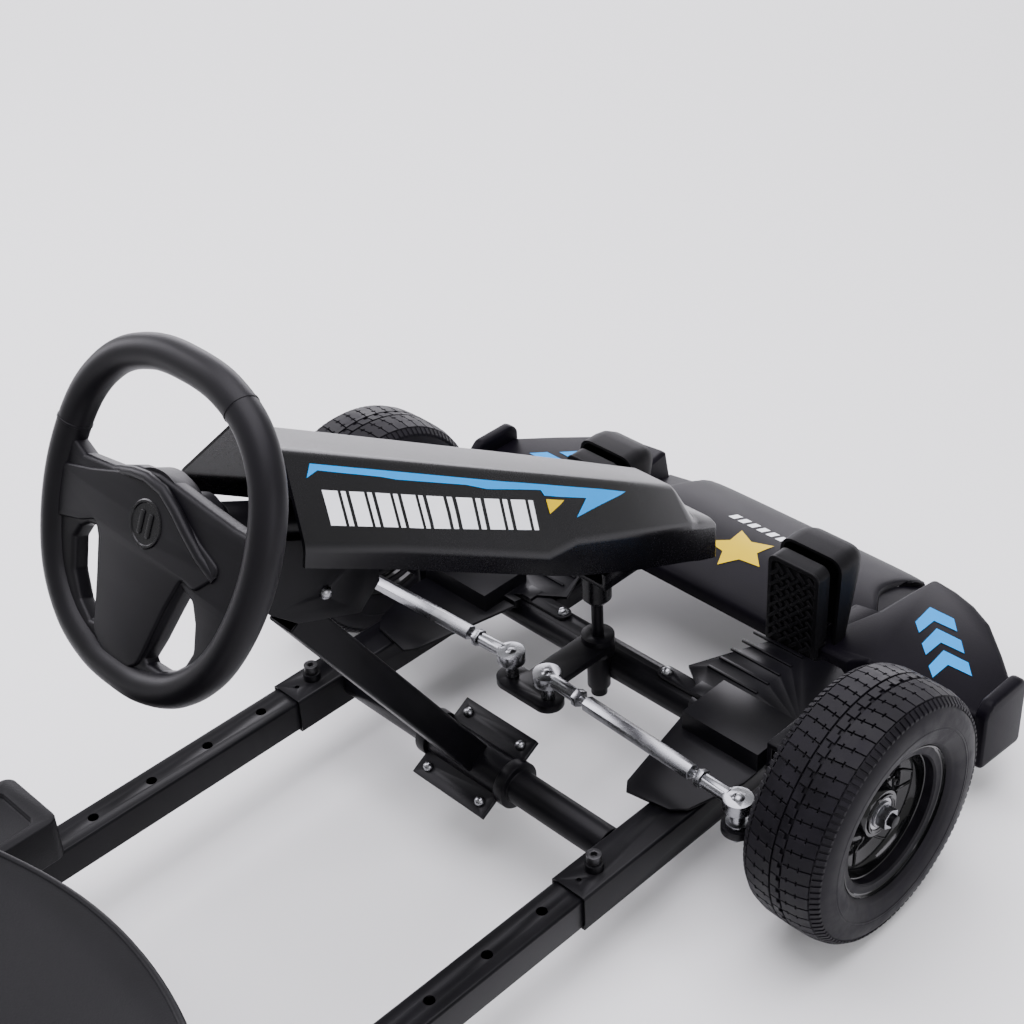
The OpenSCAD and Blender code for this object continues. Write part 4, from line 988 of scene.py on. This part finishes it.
low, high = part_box("pedal_pad_right")
pedal_x = (low.x + high.x) / 2
tread = moved(pedal_tread(), Matrix.Translation(PAD_MIDDLE) @ UPRIGHT)
for side, hand in (("left", -1), ("right", 1)):
    aside = Matrix.Translation((hand * pedal_x, 0, 0))
    refined("pedal_pad_" + side, PEDAL_PLASTIC, 0.0022, 3)
    piece("pedal_tread_" + side, moved(tread, aside), PEDAL_PLASTIC, "pedal_%s_body" % side,
          (), 34)
    piece("pedal_housing_" + side, moved(pedal_housing(), aside), PEDAL_PLASTIC, "front_frame",
          ["pedal_bases"], 34, [bevel(0.0015, 2, 40), wall(0.0035)])
    piece("pedal_lugs_" + side, moved(hinge_lugs(), aside), PEDAL_PLASTIC, "front_frame",
          ["pedal_bases"], 34)

refined("footplates", POWDER, 0.0009, 2)


# ---------- seat ----------
SEAT_FRONT_Y, SEAT_FRONT_Z, SEAT_DIP = -571.0, 187.0, 34.0
SEAT_DEPTH, SEAT_HIGH, SEAT_WIDE = 250.0, 370.0, 390.0
SEAT_LEAN, SEAT_BEND, SEAT_SIDES = math.radians(14), 70.0, 70.0


def seat_line(t):
    """The middle line of the seat: a dipping pan, a round bend and a leaning back."""
    s, q = min(t * 2, 1), max((t - 0.5) * 2, 0)
    curl, rise = min(q / 0.35, 1), max((q - 0.35) / 0.65, 0)
    a = curl * (math.pi / 2 - SEAT_LEAN)
    back = (SEAT_HIGH - SEAT_BEND) * rise
    pan = SEAT_FRONT_Z - SEAT_DIP * math.sin(math.pi / 2 * s)
    return Vector((SEAT_FRONT_Y - SEAT_DEPTH * s - SEAT_BEND * math.sin(a) - back * math.sin(SEAT_LEAN),
                   pan + SEAT_BEND * (1 - math.cos(a)) + back * math.cos(SEAT_LEAN)))


def seat_place(t, u):
    """A point of the shell: t runs from the front edge to the top of the back, u from side to side."""
    m = seat_line(t)
    d = (seat_line(min(t + 0.01, 1)) - seat_line(max(t - 0.01, 0))).normalized()
    front, taper = 0.82 + 0.18 * math.sin(5 * math.pi * t), 1 - 0.16 * max(t - 0.7, 0) / 0.3
    half = SEAT_WIDE / 2 * (front if t < 0.1 else taper)
    half *= 1 - 0.4 * (max(t - 0.86, 0) / 0.14) ** 3
    lift = SEAT_SIDES * math.sin(math.pi * min(max(t * 0.9 + 0.08, 0), 1)) * abs(u) ** 3 + 6
    x = half * math.sin(math.pi / 2 * u)
    bow = 0.0012 * x * x * max(1 - t / 0.22, 0) - 6 * max(1 - t / 0.1, 0)
    return at(x, m.x + d.y * lift - bow, m.y - d.x * lift - 5 * max(1 - t / 0.06, 0) ** 2)


def seat_mesh():
    """The shell as a sheet, and the round bead along its edge."""
    rows, cols = 72, 28
    grid = [[seat_place(i / rows, -1 + 2 * j / cols) for j in range(cols + 1)] for i in range(rows + 1)]
    sheet = mesh_of("seat", [p for row in grid for p in row], sheet_faces(rows + 1, cols + 1))
    edge = grid[0] + [row[-1] for row in grid[1:]] + list(reversed(grid[-1][:-1]))
    edge += [row[0] for row in reversed(grid[1:-1])]
    return sheet, tube("bead", edge, 0.0042, 10, True)


shell, bead = seat_mesh()
piece("seat_pan", shell, SEAT_PLASTIC, "rear_frame", ["seat_shell"], 40, [wall(0.0055, 0)])
piece("seat_bead", bead, SEAT_PLASTIC, "rear_frame", ["seat_shell"], 60)


# ---------- floor, lights and camera ----------
def floor():
    """A plain pale floor, just below the tyres."""
    bm = bmesh.new()
    bmesh.ops.create_grid(bm, x_segments=1, y_segments=1, size=12)
    mesh = bpy.data.meshes.new("floor")
    bm.to_mesh(mesh)
    bm.free()
    paint = Finish("floor_paint")
    cloud = paint.noise(0.6, 2.0)
    paint.colour(paint.blend(cloud, (0.86, 0.86, 0.87), (0.9, 0.9, 0.9)))
    paint.rough(cloud * 0.1 + 0.7)
    mesh.materials.append(paint.material)
    obj = bpy.data.objects.new("floor", mesh)
    obj.location.z = -0.001
    bpy.context.scene.collection.objects.link(obj)


def softbox(name, place, aim, size, power):
    """A soft lamp in metres and watts, aimed at a point of the kart."""
    lamp = bpy.data.lights.new(name, "AREA")
    lamp.color = (0.95, 0.92, 1.0)
    lamp.shape, lamp.size, lamp.size_y, lamp.energy = "RECTANGLE", size[0], size[1], power
    obj = bpy.data.objects.new(name, lamp)
    obj.location = place
    obj.rotation_euler = (Vector(aim) - Vector(place)).to_track_quat("-Z", "Y").to_euler()
    bpy.context.scene.collection.objects.link(obj)


floor()
softbox("overhead", (0.0, 0.3, 2.8), (0, 0.1, 0.2), (2.6, 2.6), 130)
softbox("left_strip", (-2.6, -0.6, 1.7), (0, 0.1, 0.3), (0.9, 2.4), 60)
softbox("backdrop", (-3.2, 3.4, 1.2), (0, 0.1, 0.2), (5.0, 2.0), 190)
softbox("right_fill", (2.8, -0.3, 1.4), (0.3, 0.2, 0.2), (1.6, 1.4), 22)
world = bpy.data.worlds.new("studio")
world.use_nodes = True
world.node_tree.nodes["Background"].inputs["Color"].default_value = (1, 1, 1, 1)
world.node_tree.nodes["Background"].inputs["Strength"].default_value = 0.78
bpy.context.scene.world = world

EYE = Vector((1.0086, -0.7211, 1.3039))
VIEW_TURN, VIEW_DOWN, VIEW_ROLL = math.radians(47.02), math.radians(34.89), math.radians(-3.37)
level = Vector((math.cos(VIEW_TURN), math.sin(VIEW_TURN), 0))
forward = Vector((-math.sin(VIEW_TURN), math.cos(VIEW_TURN), 0))
ahead = forward * math.cos(VIEW_DOWN) - Vector((0, 0, math.sin(VIEW_DOWN)))
above = level.cross(ahead)
right = level * math.cos(VIEW_ROLL) + above * math.sin(VIEW_ROLL)
upward = above * math.cos(VIEW_ROLL) - level * math.sin(VIEW_ROLL)
lens = bpy.data.cameras.new("camera")
lens.lens, lens.sensor_width = 64.87, 36.0
camera = bpy.data.objects.new("camera", lens)
camera.matrix_world = Matrix.Translation(EYE) @ Matrix((right, upward, -ahead)).transposed().to_4x4()
bpy.context.scene.collection.objects.link(camera)
bpy.context.scene.camera = camera
